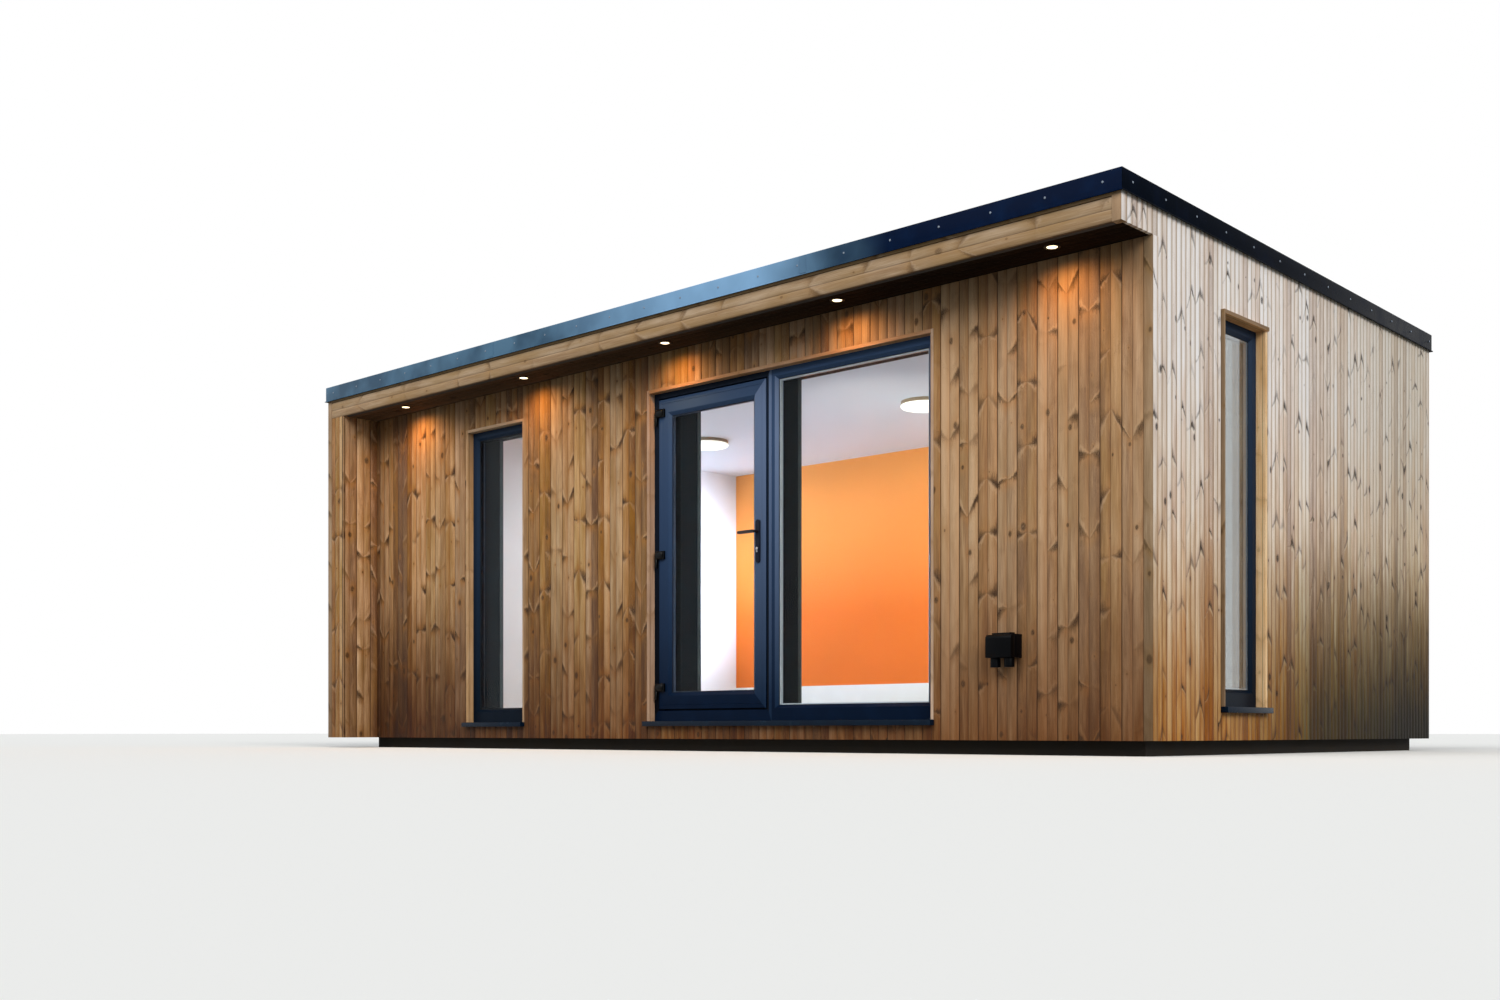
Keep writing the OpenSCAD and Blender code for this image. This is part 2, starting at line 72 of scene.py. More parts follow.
camera = placed("camera", bpy.data.cameras.new("camera"))
camera.data.sensor_width = 36
camera.data.lens = 37.31
camera.data.shift_y = 0.1541
camera.location = (6.982, -8.258, 0.122)
camera.rotation_euler = (math.radians(90), 0, math.radians(43.268))
bpy.context.scene.camera = camera
bpy.context.scene.view_settings.view_transform = "Standard"


# ---- Studio -------------------------------------------------------------------------------------
# A pale floor under an even pale sky, one broad soft light on the right-hand side and a weaker one
# on the front. The sky shows white to the eye, to gloss and through glass, and dimmer as a light.


def srgb(code):
    """The linear colour that an sRGB hex code stands for, with alpha 1."""
    parts = [int(code[i:i + 2], 16) / 255 for i in (0, 2, 4)]
    return [p / 12.92 if p <= 0.04045 else ((p + 0.055) / 1.055) ** 2.4 for p in parts] + [1.0]


def add_node(tree, kind, inputs=(), **settings):
    """A node of that kind, a shader's unless its name is whole; its operation, curve or data type may follow.

    inputs gives a value, a node or a socket for each socket, in order or by number or name.
    """
    kind, _, mode = kind.partition(" ")
    made = tree.nodes.new(kind if "Node" in kind else "ShaderNode" + kind)
    if mode:
        settings[next(s for s in ("operation", "interpolation_type", "data_type") if hasattr(made, s))] = mode
    for name, value in settings.items():
        setattr(made, name, value)
    for socket, value in inputs.items() if isinstance(inputs, dict) else enumerate(inputs):
        if isinstance(value, bpy.types.Node):
            value = next(out for out in value.outputs if out.enabled)
        if isinstance(value, bpy.types.NodeSocket):
            tree.links.new(value, made.inputs[socket])
        else:
            made.inputs[socket].default_value = value
    return made


def emptied(owner):
    """Clears that material or world of nodes, and gives the function that adds one to it."""
    owner.use_nodes = True
    owner.node_tree.nodes.clear()
    return partial(add_node, owner.node_tree)


def material(name):
    """A new material with no nodes, and the function that adds one to it."""
    made = bpy.data.materials.new(name)
    return made, emptied(made)


def seen_white(node):
    """The rays that see the studio white: from the eye, off gloss and through glass."""
    rays = node("LightPath").outputs
    seen = node("Math MAXIMUM", [rays["Is Camera Ray"], rays["Is Glossy Ray"]])
    return node("Math MAXIMUM", [seen, rays["Is Transmission Ray"]])


world = bpy.data.worlds.new("pale studio")
bpy.context.scene.world = world
node = emptied(world)
node("OutputWorld", {"Surface": node("MixShader", [
    seen_white(node), node("Background", {"Color": srgb("e6edf6"), "Strength": 0.5}),
    node("Background", {"Color": srgb("ffffff"), "Strength": 1.0})])})


def shine(kind, name, power, colour, towards=(0, 0, -1), place=(0, 0, 0), **settings):
    """A light of that kind, which shines in that direction."""
    light = bpy.data.lights.new(name, kind)
    light.energy = power
    light.color = srgb(colour)[:3]
    for setting, value in settings.items():
        setattr(light, setting, value)
    lamp = placed(name, light)
    lamp.location = place
    lamp.rotation_euler = Vector(towards).to_track_quat("-Z", "Y").to_euler()
    return lamp


shine("SUN", "side light", 1.9, "fffaf2", (-0.78, 0.42, -0.46), angle=math.radians(30))
shine("SUN", "front light", 1.2, "fffdf8", (0.1, 0.72, -0.68), angle=math.radians(50))


def as_mesh(name, form):
    """The form as a mesh of that name; the form is used up."""
    mesh = bpy.data.meshes.new(name)
    form.to_mesh(mesh)
    form.free()
    return mesh


ground = bmesh.new()
bmesh.ops.create_grid(ground, x_segments=2, y_segments=2, size=60)
studio_floor = placed("studio_floor", as_mesh("studio floor", ground))
paper, node = material("pale studio paper")
node("OutputMaterial", {"Surface": node("BsdfDiffuse", {"Color": node("Mix RGBA", {
    0: seen_white(node), 6: srgb("7d7f78"), 7: srgb("f2f2f0")})})})
studio_floor.data.materials.append(paper)


# ---- Wall cladding ------------------------------------------------------------------------------
# Heat-treated softwood boards, 118.6 mm to the next one, tongued and grooved, upright, with a
# V-joint between them and a shallow groove in the middle, nailed over a dark membrane on the
# insulated wall panels, which are plasterboard inside.

COVER = 0.1186
BOARD_T = 0.02


def timber(name, tones, warm, knots, halo, downward, knotty=1.0, slant=(0.1, 1.5), thick=(0.003, 0.027),
           strength=(0.3, 1.0), bleach_and_light=None, damp_and_painted_shade=(), painted_flank_shade=None, shine=0.2):
    """Softwood read from the board attribute: across and along in metres, and the board's number.

    tones run from the darkest late wood to the palest board, and warm is the resin's stain. Boards
    sawn through the heart carry pairs of spike knots, like a V or its reverse, at each whorl;
    downward is the share with a V, slant their least slope and its range, and thick and strength are
    given at the heart and at the edge. bleach is a colour, its share and the places, as (axis, from,
    to), between which the wood pales: sun bleaching on the side wall, painted light on the front and
    the soffit. Each of the tints is the same for wood that darkens, with painted shade, partly damp at
    the foot; lee is the colour of the painted shade on each half board's flank turned from the light.
    """
    made, node = material(name)
    board = node("Attribute", attribute_name="board").outputs["Vector"]
    part = node("SeparateXYZ", [board])
    across, along, number = part.outputs[0], part.outputs[1], part.outputs[2]
    own = node("SeparateColor", [node("TexWhiteNoise", {"W": number}, noise_dimensions="1D").outputs["Color"]])
    side = node("Math GREATER_THAN", [across, 0.0])

    def scatter(*parts):
        """Three even random numbers for that cell of that board."""
        found = node("TexWhiteNoise", [node("CombineXYZ", dict(enumerate(parts)))], noise_dimensions="3D")
        return node("SeparateColor", [found.outputs["Color"]]).outputs

    def streaks(size, detail):
        """Noise drawn out along the board; size is its scale across, along and between boards."""
        return node("TexNoise", {
            "Vector": node("VectorMath MULTIPLY", [board, size]), "Scale": 1.0, "Detail": detail,
            "Roughness": 0.55}).outputs[0]

    # whorls of spike knots about 0.4 m apart: two arms, thick at the board's edges, thin at its heart
    run = node("Math MULTIPLY_ADD", [along, 2.9, node("Math MULTIPLY", [own.outputs[1], 9.0])])
    cell = node("Math FLOOR", [run])
    rise = node("Math FRACT", [run])
    dice = scatter(cell, number, 0.5)
    arms = scatter(cell, number, side)
    apex = node("Math MULTIPLY_ADD", [dice[0], 0.44, 0.28])
    rise = node("Math SUBTRACT", [rise, apex])
    flip = node("Math MULTIPLY_ADD", [node("Math LESS_THAN", [own.outputs[2], downward]), 0.69, -0.345])
    rise = node("Math MULTIPLY", [rise, flip])
    heart = node("Math MULTIPLY_ADD", [dice[1], 0.016, across])
    out = node("Math ABSOLUTE", [node("Math SUBTRACT", [heart, 0.008])])
    slope = node("Math MULTIPLY_ADD", [node("Math POWER", [dice[2], 1.6]), slant[1], slant[0]])
    bow = node("Math MULTIPLY", [node("Math SUBTRACT", [arms[2], 0.5]), out])
    slope = node("Math MULTIPLY_ADD", [bow, 18.0, slope])
    lift = node("Math MULTIPLY", [out, slope])
    rise = node("Math SUBTRACT", [rise, lift])
    wobble = streaks((75.0, 55.0, 5.3), 4.0)
    rise = node("Math SUBTRACT", [node("Math MULTIPLY_ADD", [wobble, 0.022, rise]), 0.011])
    sharp = node("Math MULTIPLY", [rise, 1.7])
    off = node("Math MAXIMUM", [node("Math MULTIPLY", [rise, -0.75]), sharp])
    width = node("MapRange", [out, 0.0, 0.05, thick[0], thick[1]])
    swell = node("MapRange", [streaks((90.0, 26.0, 3.1), 3.0), 0.3, 0.7, 0.0, 1.2])
    swell = node("Math ADD", [arms[0], swell])
    width = node("Math MULTIPLY", [width, swell])
    ratio = node("Math DIVIDE", [off, width])
    arm = node("MapRange SMOOTHSTEP", [ratio, 1.6, 0.0, 0.0, 1.15])
    # a pale lip just above each arm: a painted highlight along the knot's edge
    lip = node("MapRange SMOOTHSTEP", [ratio, 3.2, 1.6, 0.0, 0.5])
    crest = node("Math GREATER_THAN", [rise, 0.0])
    lip = node("Math MULTIPLY", [lip, crest])
    bold = node("MapRange", [node("Math MULTIPLY_ADD", [dice[0], 0.5, arms[1]]), 0.45, 0.95, 0.0, knotty])
    reach = node("MapRange", [out, 0.002, 0.045, strength[0], strength[1]])
    arm = node("Math MULTIPLY", [node("Math MULTIPLY", [arm, reach]), bold])
    lip = node("Math MULTIPLY", [lip, bold])
    glow = node("MapRange SMOOTHSTEP", [rise, -0.085, 0.0, 0.0, 0.8])
    above = node("MapRange SMOOTHSTEP", [rise, 0.03, 0.0, 0.0, 1.0])
    glow = node("Math MULTIPLY", [node("Math MULTIPLY", [glow, above]), bold])

    # round knots, 8 to 26 mm across
    run = node("Math MULTIPLY_ADD", [along, 1.9, node("Math MULTIPLY", [own.outputs[2], 7.0])])
    spot = scatter(node("Math FLOOR", [run]), number, 7.7)
    aside = node("Math ADD", [node("Math MULTIPLY_ADD", [spot[0], -0.08, across]), 0.04])
    above = node("Math MULTIPLY_ADD", [spot[1], -0.5, -0.25])
    within = node("Math FRACT", [run])
    above = node("Math MULTIPLY", [node("Math ADD", [within, above]), 0.36])
    far = node("VectorMath LENGTH", [node("CombineXYZ", [aside, above])])
    far = node("Math MULTIPLY_ADD", [wobble, 0.006, far.outputs["Value"]])
    size = node("Math MULTIPLY_ADD", [node("Math POWER", [spot[2], 2.5]), 0.013, 0.005])
    far = node("Math DIVIDE", [far, size])
    eye = node("MapRange SMOOTHSTEP", [far, 1.4, 0.7, 0.0, knotty])
    ring = node("MapRange", [far, 3.6, 1.0, 0.0, 0.6 * knotty])
    glow = node("Math MAXIMUM", [glow, ring])
    dark = node("Math MAXIMUM", [arm, eye])

    # fine streaks 3 mm wide, broad bands 25 mm wide, and resin stains half a metre long
    fine = streaks((330.0, 7.0, 17.3), 3.0)
    broad = streaks((28.0, 2.4, 9.1), 4.0)
    tone = node("Mix", {0: 0.19, 2: node("Mix", {0: 0.5, 2: fine, 3: broad}), 3: own.outputs[0]})
    tone = node("Mix", {0: 0.22, 2: tone, 3: scatter(number, side, 3.7)[0]})
    ramp = node("ValToRGB", [tone])
    stops = ramp.color_ramp.elements
    while len(stops) < len(tones):
        stops.new(0.5)
    for i, code in enumerate(tones):
        stops[i].position = 0.37 + 0.26 * i / (len(tones) - 1)
        stops[i].color = srgb(code)
    stain = node("MapRange", [streaks((13.0, 2.2, 5.9), 3.0), 0.42, 0.72, 0.0, 0.75])
    colour = node("Mix RGBA", {0: stain, 6: ramp, 7: srgb(warm)})
    colour = node("HueSaturation", {
        "Hue": node("MapRange", {0: own.outputs[1], 3: 0.492, 4: 0.506}),
        "Saturation": node("MapRange", {0: own.outputs[2], 3: 0.85, 4: 1.18}),
        "Color": colour})
    colour = node("Mix RGBA", {0: glow, 6: colour, 7: srgb(halo)})
    # the painted highlight above the knots' arms
    colour = node("Mix RGBA", {0: lip, 6: colour, 7: srgb(tones[-1])})

    # weather and painted light: paler with sun bleaching and painted light, painted shade on the flank
    # turned from the light, and darker with painted shade at the foot and in other places, partly damp
    place = node("SeparateXYZ", [node("TexCoord").outputs["Object"]])

    def drift(share, places):
        """The share reached between each two places along an axis, blurred by the broad bands."""
        for axis, low, high in places:
            reach = node("Math MULTIPLY_ADD", [broad, 0.6, place.outputs[axis]])
            reach = node("MapRange", [reach, low + 0.3, high + 0.3, 0.0, 1.0])
            share = node("Math MULTIPLY", [reach, share])
        return share

    # paler: sun bleaching on the side wall, painted light on the front and the soffit
    if bleach_and_light:
        share = node("MapRange", [tone, 0.38, 0.6, 0.55 * bleach_and_light[1], 1.1 * bleach_and_light[1]])
        colour = node("Mix RGBA", {0: drift(share, bleach_and_light[2:]), 6: colour, 7: srgb(bleach_and_light[0])})
    # painted shade on the flank of each half board that is turned from the light
    if painted_flank_shade:
        flank_shade_mask = node("Math FRACT", [node("Math DIVIDE", [across, COVER / 2])])
        flank_shade_mask = node("MapRange SMOOTHSTEP", [flank_shade_mask, 0.4, 0.92])
        colour = node("Mix RGBA", {0: flank_shade_mask, 6: colour, 7: srgb(painted_flank_shade)}, blend_type="MULTIPLY")
    # darker between each tint's places: painted shade, partly damp at the foot and low at the rear
    for code, share, *places in damp_and_painted_shade:
        colour = node("Mix RGBA", {0: drift(share, places), 6: colour, 7: srgb(code)}, blend_type="MULTIPLY")
    colour = node("Mix RGBA", {0: node("Math MULTIPLY", [dark, 0.88], use_clamp=True), 6: colour, 7: srgb(knots)})

    # dirt and painted shade in the joint at each edge, and a little in the groove along the middle
    edge = node("Math ABSOLUTE", [across])
    joint = node("MapRange", [edge, 0.0558, 0.0582, 0.0, 0.75])
    groove = node("MapRange", [edge, 0.0034, 0.0008, 0.0, 0.45])
    dirt_and_shade = node("Math MAXIMUM", [joint, groove])
    colour = node("Mix RGBA", {0: dirt_and_shade, 6: colour, 7: srgb("2c1a0d")})
    height = node("Math MULTIPLY_ADD", [dark, 0.7, fine])
    node("OutputMaterial", {"Surface": node("BsdfPrincipled", {
        "Base Color": colour, "Specular IOR Level": shine,
        "Roughness": node("MapRange", {0: fine, 3: 0.54, 4: 0.72}),
        "Normal": node("Bump", {"Strength": 0.35, "Distance": 0.0012, "Height": height})})})
    return made


FOOT = (2, 1.2, 0.0)
# paler towards the right end: painted light; painted shade on each flank, at the foot (partly damp), low at the left
# end and under the soffit
FRONT_WOOD = timber("heat-treated pine, planed and oiled", ("66482f", "957350", "b5946f", "cfb08d"), "94703f",
                    "34200e", "a27036", downward=0.75, bleach_and_light=("ceac8a", 0.4, (0, 0.3, 2.9)), painted_flank_shade="f0e6da",
                    damp_and_painted_shade=[("90682c", 0.95, FOOT), ("a89c90", 0.9, (0, -0.6, -2.2), (2, 1.3, 0.2)),
                           ("8c7c6c", 0.6, (2, 2.2, 2.5))])
# painted shade on each flank, and at the foot, partly damp
WING_WOOD = timber("heat-treated pine, planed and oiled, of the wing", ("6e4f36", "a07c5a", "c09c78", "d8b795"),
                   "9c7848", "38230f", "a27036", downward=0.75, painted_flank_shade="f0e6da", damp_and_painted_shade=[("c4b49c", 0.7, FOOT)])
# sun-bleached towards the top; painted shade on each flank, at the foot and low at the rear (partly damp there), and
# towards the rear
SIDE_WOOD = timber("heat-treated pine, bleached by the sun", ("8c6230", "c2965c", "e0c092", "f0dcba"), "c6965a",
                   "1c1410", "a5713c", downward=0.12, slant=(0.9, 1.0), thick=(0.02, 0.008), strength=(1.0, 0.45),
                   bleach_and_light=("f2f0f2", 0.92, (2, 0.3, 2.0)), painted_flank_shade="cbb496",
                   damp_and_painted_shade=[("c29a50", 0.95, FOOT), ("66807a", 0.95, (1, -0.8, 0.2), (2, 1.3, 0.2)),
                          ("484c3c", 0.95, (1, -0.1, 1.5), (2, 1.1, 0.1)), ("dedad0", 1.0, (1, -0.2, 1.4))])
# darker at the foot: painted shade, partly damp
REAR_WOOD = timber("heat-treated pine, greyed in the shade", ("63482f", "86694b", "9c7f61", "b09477"), "86633c",
                   "2e2013", "936b3f", downward=0.5, damp_and_painted_shade=[("958066", 0.8, FOOT)])


def clouded(name, one, two, cloud, sockets):
    """A plain surface whose colour drifts between two tones with a noise, the cloud."""
    made, node = material(name)
    share = node("TexNoise", {"Vector": node("TexCoord").outputs["Object"], **cloud})
    node("OutputMaterial", {"Surface": node("BsdfPrincipled", {
        "Base Color": node("Mix RGBA", {0: share, 6: srgb(one), 7: srgb(two)}), **sockets})})
    return made


# woven, so that its black is faintly mottled
membrane = clouded("breather membrane, woven black", "120e0b", "241c16", {"Scale": 400.0}, {"Roughness": 0.9})


def wall_paint(name, pale, deep, low=None):
    """Emulsion rolled on plasterboard: flat, with the roller's faint stipple; low is the tone of a painted shade
    that deepens it lower down.
    """
    made, node = material(name)
    place = node("TexCoord").outputs["Object"]
    patch = node("TexNoise", {"Vector": place, "Scale": 1.3, "Detail": 2.0})
    stipple = node("TexNoise", {"Vector": place, "Scale": 260.0, "Detail": 2.0})
    colour = node("Mix RGBA", {0: patch, 6: srgb(deep), 7: srgb(pale)})
    # painted shade, deeper lower down
    if low:
        share = node("MapRange", [node("SeparateXYZ", [place]).outputs[2], 2.3, 1.1])
        colour = node("Mix RGBA", {0: share, 6: colour, 7: srgb(low)})
    node("OutputMaterial", {"Surface": node("BsdfPrincipled", {
        "Base Color": colour, "Roughness": 0.85,
        "Normal": node("Bump", {"Strength": 0.15, "Distance": 0.0006, "Height": stipple})})})
    return made


WHITE_PAINT = wall_paint("white emulsion, rolled", "efeeec", "e6e4e1")
# the walls' white emulsion, painted darker and cooler on the ceiling: painted shade
CEILING_PAINT = wall_paint("white emulsion, in painted shade on the ceiling", "dde4ea", "d4dce3")
# deeper orange lower down: painted shade
ORANGE_PAINT = wall_paint("orange emulsion, rolled", "ffa854", "fba04c", "de6c18")

# one board, 1 m long, its face at the front: two rounded halves with chamfered edges
section = [(-0.0585, 0.02), (-0.0585, 0.0065), (-0.0545, 0.003), (-0.049, 0.0018), (-0.0425, 0.0008),
           (-0.036, 0.0002), (-0.029, 0.0), (-0.022, 0.0002), (-0.0155, 0.0008), (-0.009, 0.0018),
           (-0.0035, 0.003), (0.0, 0.0046)]
section += [(-x, y) for x, y in reversed(section[:-1])]
shape = bmesh.new()
ends = [[shape.verts.new((x, y, z)) for x, y in section] for z in (0, 1)]
for i in range(len(section)):
    j = (i + 1) % len(section)
    shape.faces.new((ends[0][i], ends[0][j], ends[1][j], ends[1][i]))
shape.faces.new(list(reversed(ends[0])))
shape.faces.new(ends[1])
bmesh.ops.recalc_face_normals(shape, faces=shape.faces)
ONE_BOARD = bpy.data.objects.new("one board", as_mesh("one board", shape))

cladding = bpy.data.node_groups.new("tongue and groove boards", "GeometryNodeTree")
geo = partial(add_node, cladding)
cladding.interface.new_socket("Geometry", in_out="OUTPUT", socket_type="NodeSocketGeometry")
for kind, labels in [
        ("Object", ["Board"]), ("Int", ["Seed"]), ("Material", ["Finish"]),
        ("Float", ["Left", "Right", "Bottom", "Top at left", "Top at right", "Cover", "Phase"])]:
    for label in labels:
        cladding.interface.new_socket(label, in_out="INPUT", socket_type="NodeSocket" + kind)
given = geo("NodeGroupInput").outputs


def count_boards(edge, slack, rounding):
    """The number of the board, counted from the phase, that an edge of the wall falls in."""
    past = geo("Math ADD", [geo("Math SUBTRACT", [edge, given["Phase"]]), slack])
    past = geo("Math DIVIDE", [past, given["Cover"]])
    return geo("Math", [past], operation=rounding)


first = count_boards(given["Left"], 0.004, "FLOOR")
last = count_boards(given["Right"], -0.004, "CEIL")
start = geo("Math MULTIPLY_ADD", [geo("Math ADD", [first, 0.5]), given["Cover"], given["Phase"]])
row = geo("GeometryNodeMeshLine", {
    "Count": geo("Math SUBTRACT", [last, first]), "Start Location": geo("CombineXYZ", [start]),
    "Offset": geo("CombineXYZ", [given["Cover"]])})
middle = geo("SeparateXYZ", [geo("GeometryNodeInputPosition")])
row = geo("GeometryNodeStoreNamedAttribute", {
    "Geometry": row, "Name": "middle", "Value": middle.outputs[0]}, data_type="FLOAT")
number = geo("Math ADD", [geo("Math ADD", [geo("GeometryNodeInputIndex"), first]), given["Seed"]])
row = geo("GeometryNodeStoreNamedAttribute", {"Geometry": row, "Name": "number", "Value": number}, data_type="FLOAT")
narrower = geo("Math DIVIDE", [given["Cover"], COVER])
boards = geo("GeometryNodeInstanceOnPoints", {
    "Points": row, "Scale": geo("CombineXYZ", [narrower, 1.0, 1.0]),
    "Instance": geo("GeometryNodeObjectInfo", {"Object": given["Board"]}).outputs["Geometry"]})
boards = geo("GeometryNodeRealizeInstances", [boards])
place = geo("SeparateXYZ", [geo("GeometryNodeInputPosition")])
held = geo("Clamp", [place.outputs[0], given["Left"], given["Right"]])
top = geo("MapRange", [held, given["Left"], given["Right"], given["Top at left"], given["Top at right"]])
upright = geo("Mix", {0: place.outputs[2], 2: given["Bottom"], 3: top})
boards = geo("GeometryNodeSetPosition", {
    "Geometry": boards, "Position": geo("CombineXYZ", [held, place.outputs[1], upright])})
place = geo("SeparateXYZ", [geo("GeometryNodeInputPosition")])
middle = geo("GeometryNodeInputNamedAttribute", {"Name": "middle"}, data_type="FLOAT")
across = geo("Math DIVIDE", [geo("Math SUBTRACT", [place.outputs[0], middle]), narrower])
number = geo("GeometryNodeInputNamedAttribute", {"Name": "number"}, data_type="FLOAT")
boards = geo("GeometryNodeStoreNamedAttribute", {
    "Geometry": boards, "Name": "board", "Value": geo("CombineXYZ", [across, place.outputs[2], number])},
    data_type="FLOAT_VECTOR")
boards = geo("GeometryNodeMergeByDistance", {"Geometry": boards, "Distance": 0.00002})
boards = geo("GeometryNodeSetMaterial", {"Geometry": boards, "Material": given["Finish"]})
geo("NodeGroupOutput", [boards])


def lay_boards(form, turn, finish, seed, left, right, bottom, top_left, top_right, phase, cover=COVER):
    """Adds one flat field of boards: laid upright in XZ with its face at y 0, then turned into place."""
    field = placed("field", bpy.data.meshes.new("field"))
    laid = field.modifiers.new("boards", "NODES")
    laid.node_group = cladding
    values = {"Board": ONE_BOARD, "Left": left, "Right": right, "Bottom": bottom, "Top at left": top_left,
              "Top at right": top_right, "Cover": cover, "Phase": phase, "Seed": seed, "Finish": finish}
    for item in cladding.interface.items_tree:
        if item.in_out == "INPUT":
            laid[item.identifier] = values[item.name]
    mesh = bpy.data.meshes.new_from_object(field.evaluated_get(bpy.context.evaluated_depsgraph_get()))
    bpy.data.objects.remove(field)
    mesh.transform(turn)
    mesh.polygons.foreach_set("material_index", [0] * len(mesh.polygons))
    form.from_mesh(mesh)
    bpy.data.meshes.remove(mesh)


def finished(name, form, materials, body="building", hides=()):
    """Makes the bmesh a piece of the model that rides on that body and hides those CAD nodes."""
    mesh = as_mesh(name, form)
    mesh.polygons.foreach_set("use_smooth", [True] * len(mesh.polygons))
    mesh.set_sharp_from_angle(angle=math.radians(35))
    for each in materials:
        mesh.materials.append(each)
    piece = placed(name, mesh)
    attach(piece, body)
    if hides:
        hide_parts(*hides)


def add_block(form, turn, corners, front, back):
    """A flat block between two depths; corners are in x and z, and its front and back faces come first."""
    near, far = [[form.verts.new(turn @ Vector((x, y, z))) for x, z in corners] for y in (front, back)]
    faces = [form.faces.new(near), form.faces.new(list(reversed(far)))]
    for i in range(4):
        j = (i + 1) % 4
        faces.append(form.faces.new((near[j], near[i], far[i], far[j])))
    return faces


def add_slab(form, turn, left, right, bottom, top_left, top_right, front, back, inside=1):
    """A wall panel behind the boards; its inner face takes the material number inside."""
    faces = add_block(form, turn, [(left, bottom), (right, bottom), (right, top_right), (left, top_left)],
                      front, back)
    for face in faces:
        face.material_index = 1
    faces[1].material_index = inside


def with_grain(form):
    """The form, whose points now hold the board attribute."""
    form.verts.layers.float_vector.new("board")
    return form


def wall(name, turn, fields, depth, finish, paint, seed, hides, phase, cover=COVER, gap=0.0):
    """One stretch of wall: boards on the outside, with a gap at the right, and the painted panel behind."""
    form = with_grain(bmesh.new())
    for left, right, *heights in fields:
        lay_boards(form, turn, finish, seed, left, right - gap, *heights, phase, cover)
    for edges in fields:
        add_slab(form, turn, *edges, BOARD_T, depth, 2)
    finished(name, form, [finish, membrane, paint], hides=hides)


def facing(direction, x=0.0, y=0.0):
    """Turns a field that faces -Y towards that side, with its face through (x, y)."""
    angle = {"front": 0, "right": 90, "rear": 180, "left": 270}[direction]
    return Matrix.Translation((x, y, 0)) @ Matrix.Rotation(math.radians(angle), 4, "Z")


# where the walls stand, in metres; the roof falls 56 mm from the front edge to the rear
HALF_W, FRONT_Y, CANOPY_Y, REAR_Y = 3.345, -1.623, -1.917, 1.917
FOOT_Z, SILL_Z, HEAD_Z, SOFFIT_Z = 0.075, 0.183, 2.248, 2.464
WALL_T, SIDE_T, POST = 0.3, 0.1, 0.05
INNER_X, INNER_Y = 3.295, 1.867  # where the corner boards stop
WING_X = -3.137
FRAME_Y = -1.573  # the outer face of the front's frames
# the openings' left and right edges, seen from outside
WINDOW, DOOR, SIDE_WINDOW = (-2.024, -1.37), (-0.15, 2.066), (-0.93, -0.419)


def roof_edge(y):
    """The height of the walls' top, under the folded trim, at that distance from the front."""
    return 2.5941 + 0.0149 - 0.0563 * (y - CANOPY_Y) / (REAR_Y - CANOPY_Y)


front = facing("front", 0, FRONT_Y)
for name, left, right_end, bottom, top_z in [
        ("front_wall_left", WING_X, WINDOW[0], FOOT_Z, HEAD_Z),
        ("front_wall_middle", WINDOW[1], DOOR[0], FOOT_Z, HEAD_Z),
        ("front_wall_right", DOOR[1], INNER_X, FOOT_Z, HEAD_Z),
        ("front_wall_over", WING_X, INNER_X, HEAD_Z, SOFFIT_Z)]:
    wall(name + "_boards", front, [(left, right_end, bottom, top_z, top_z)], WALL_T, FRONT_WOOD, WHITE_PAINT,
         200, [name], INNER_X)
UNDER_Z = 0.153
wall("front_wall_under_boards", front, [(*edges, FOOT_Z, UNDER_Z, UNDER_Z) for edges in (WINDOW, DOOR)], POST,
     FRONT_WOOD, membrane, 200, ["front_wall_under"], INNER_X)

# the wing that carries the canopy: boards on its inner face and across its front edge
form = with_grain(bmesh.new())
wing = facing("right", WING_X, 0)
WING_PANEL_T = 0.158
heights = (FOOT_Z, SOFFIT_Z, SOFFIT_Z)
lay_boards(form, wing, WING_WOOD, 400, CANOPY_Y, FRONT_Y, *heights, CANOPY_Y)
lay_boards(form, facing("front", 0, CANOPY_Y), WING_WOOD, 430, -INNER_X, WING_X, *heights, WING_X)
add_slab(form, wing, CANOPY_Y + BOARD_T, FRONT_Y, *heights, BOARD_T, WING_PANEL_T)
finished("wing_wall_boards", form, [WING_WOOD, membrane], hides=["wing_wall"])

# the boards of the right wall cover less
right = facing("right", HALF_W, 0)
RIGHT_COVER = 0.0945
SIDE_UNDER_Z = 0.215
for name, left, right_end, top_z, depth, gap in [
        ("right_wall_front", FRAME_Y, SIDE_WINDOW[0], HEAD_Z, WALL_T, 0.008),
        ("right_wall_rear", SIDE_WINDOW[1], INNER_Y, HEAD_Z, WALL_T, 0.0),
        ("right_wall_under", *SIDE_WINDOW, SIDE_UNDER_Z, SIDE_T, 0.0)]:
    wall(name + "_boards", right, [(left, right_end, FOOT_Z, top_z, top_z)], depth, SIDE_WOOD, WHITE_PAINT,
         600, [name], FRAME_Y, RIGHT_COVER, gap)
form = with_grain(bmesh.new())
for left, end, bottom, panel_bottom, panel_back in [
        (FRAME_Y, INNER_Y, HEAD_Z, HEAD_Z, SIDE_T), (-INNER_Y, FRAME_Y, SOFFIT_Z, SOFFIT_Z + 0.015, POST)]:
    tops = (roof_edge(left), roof_edge(end))
    lay_boards(form, right, SIDE_WOOD, 600, left, end, bottom, *tops, FRAME_Y, RIGHT_COVER)
    add_slab(form, right, left, end, panel_bottom, *tops, BOARD_T, panel_back)
finished("right_wall_over_boards", form, [SIDE_WOOD, membrane], hides=["right_wall_over"])
wall("left_wall_boards", facing("left", -HALF_W, 0), [
    (-INNER_Y, INNER_Y, FOOT_Z, roof_edge(INNER_Y), roof_edge(-INNER_Y))], SIDE_T, REAR_WOOD, membrane, 800,
    ["left_wall"], -INNER_Y)
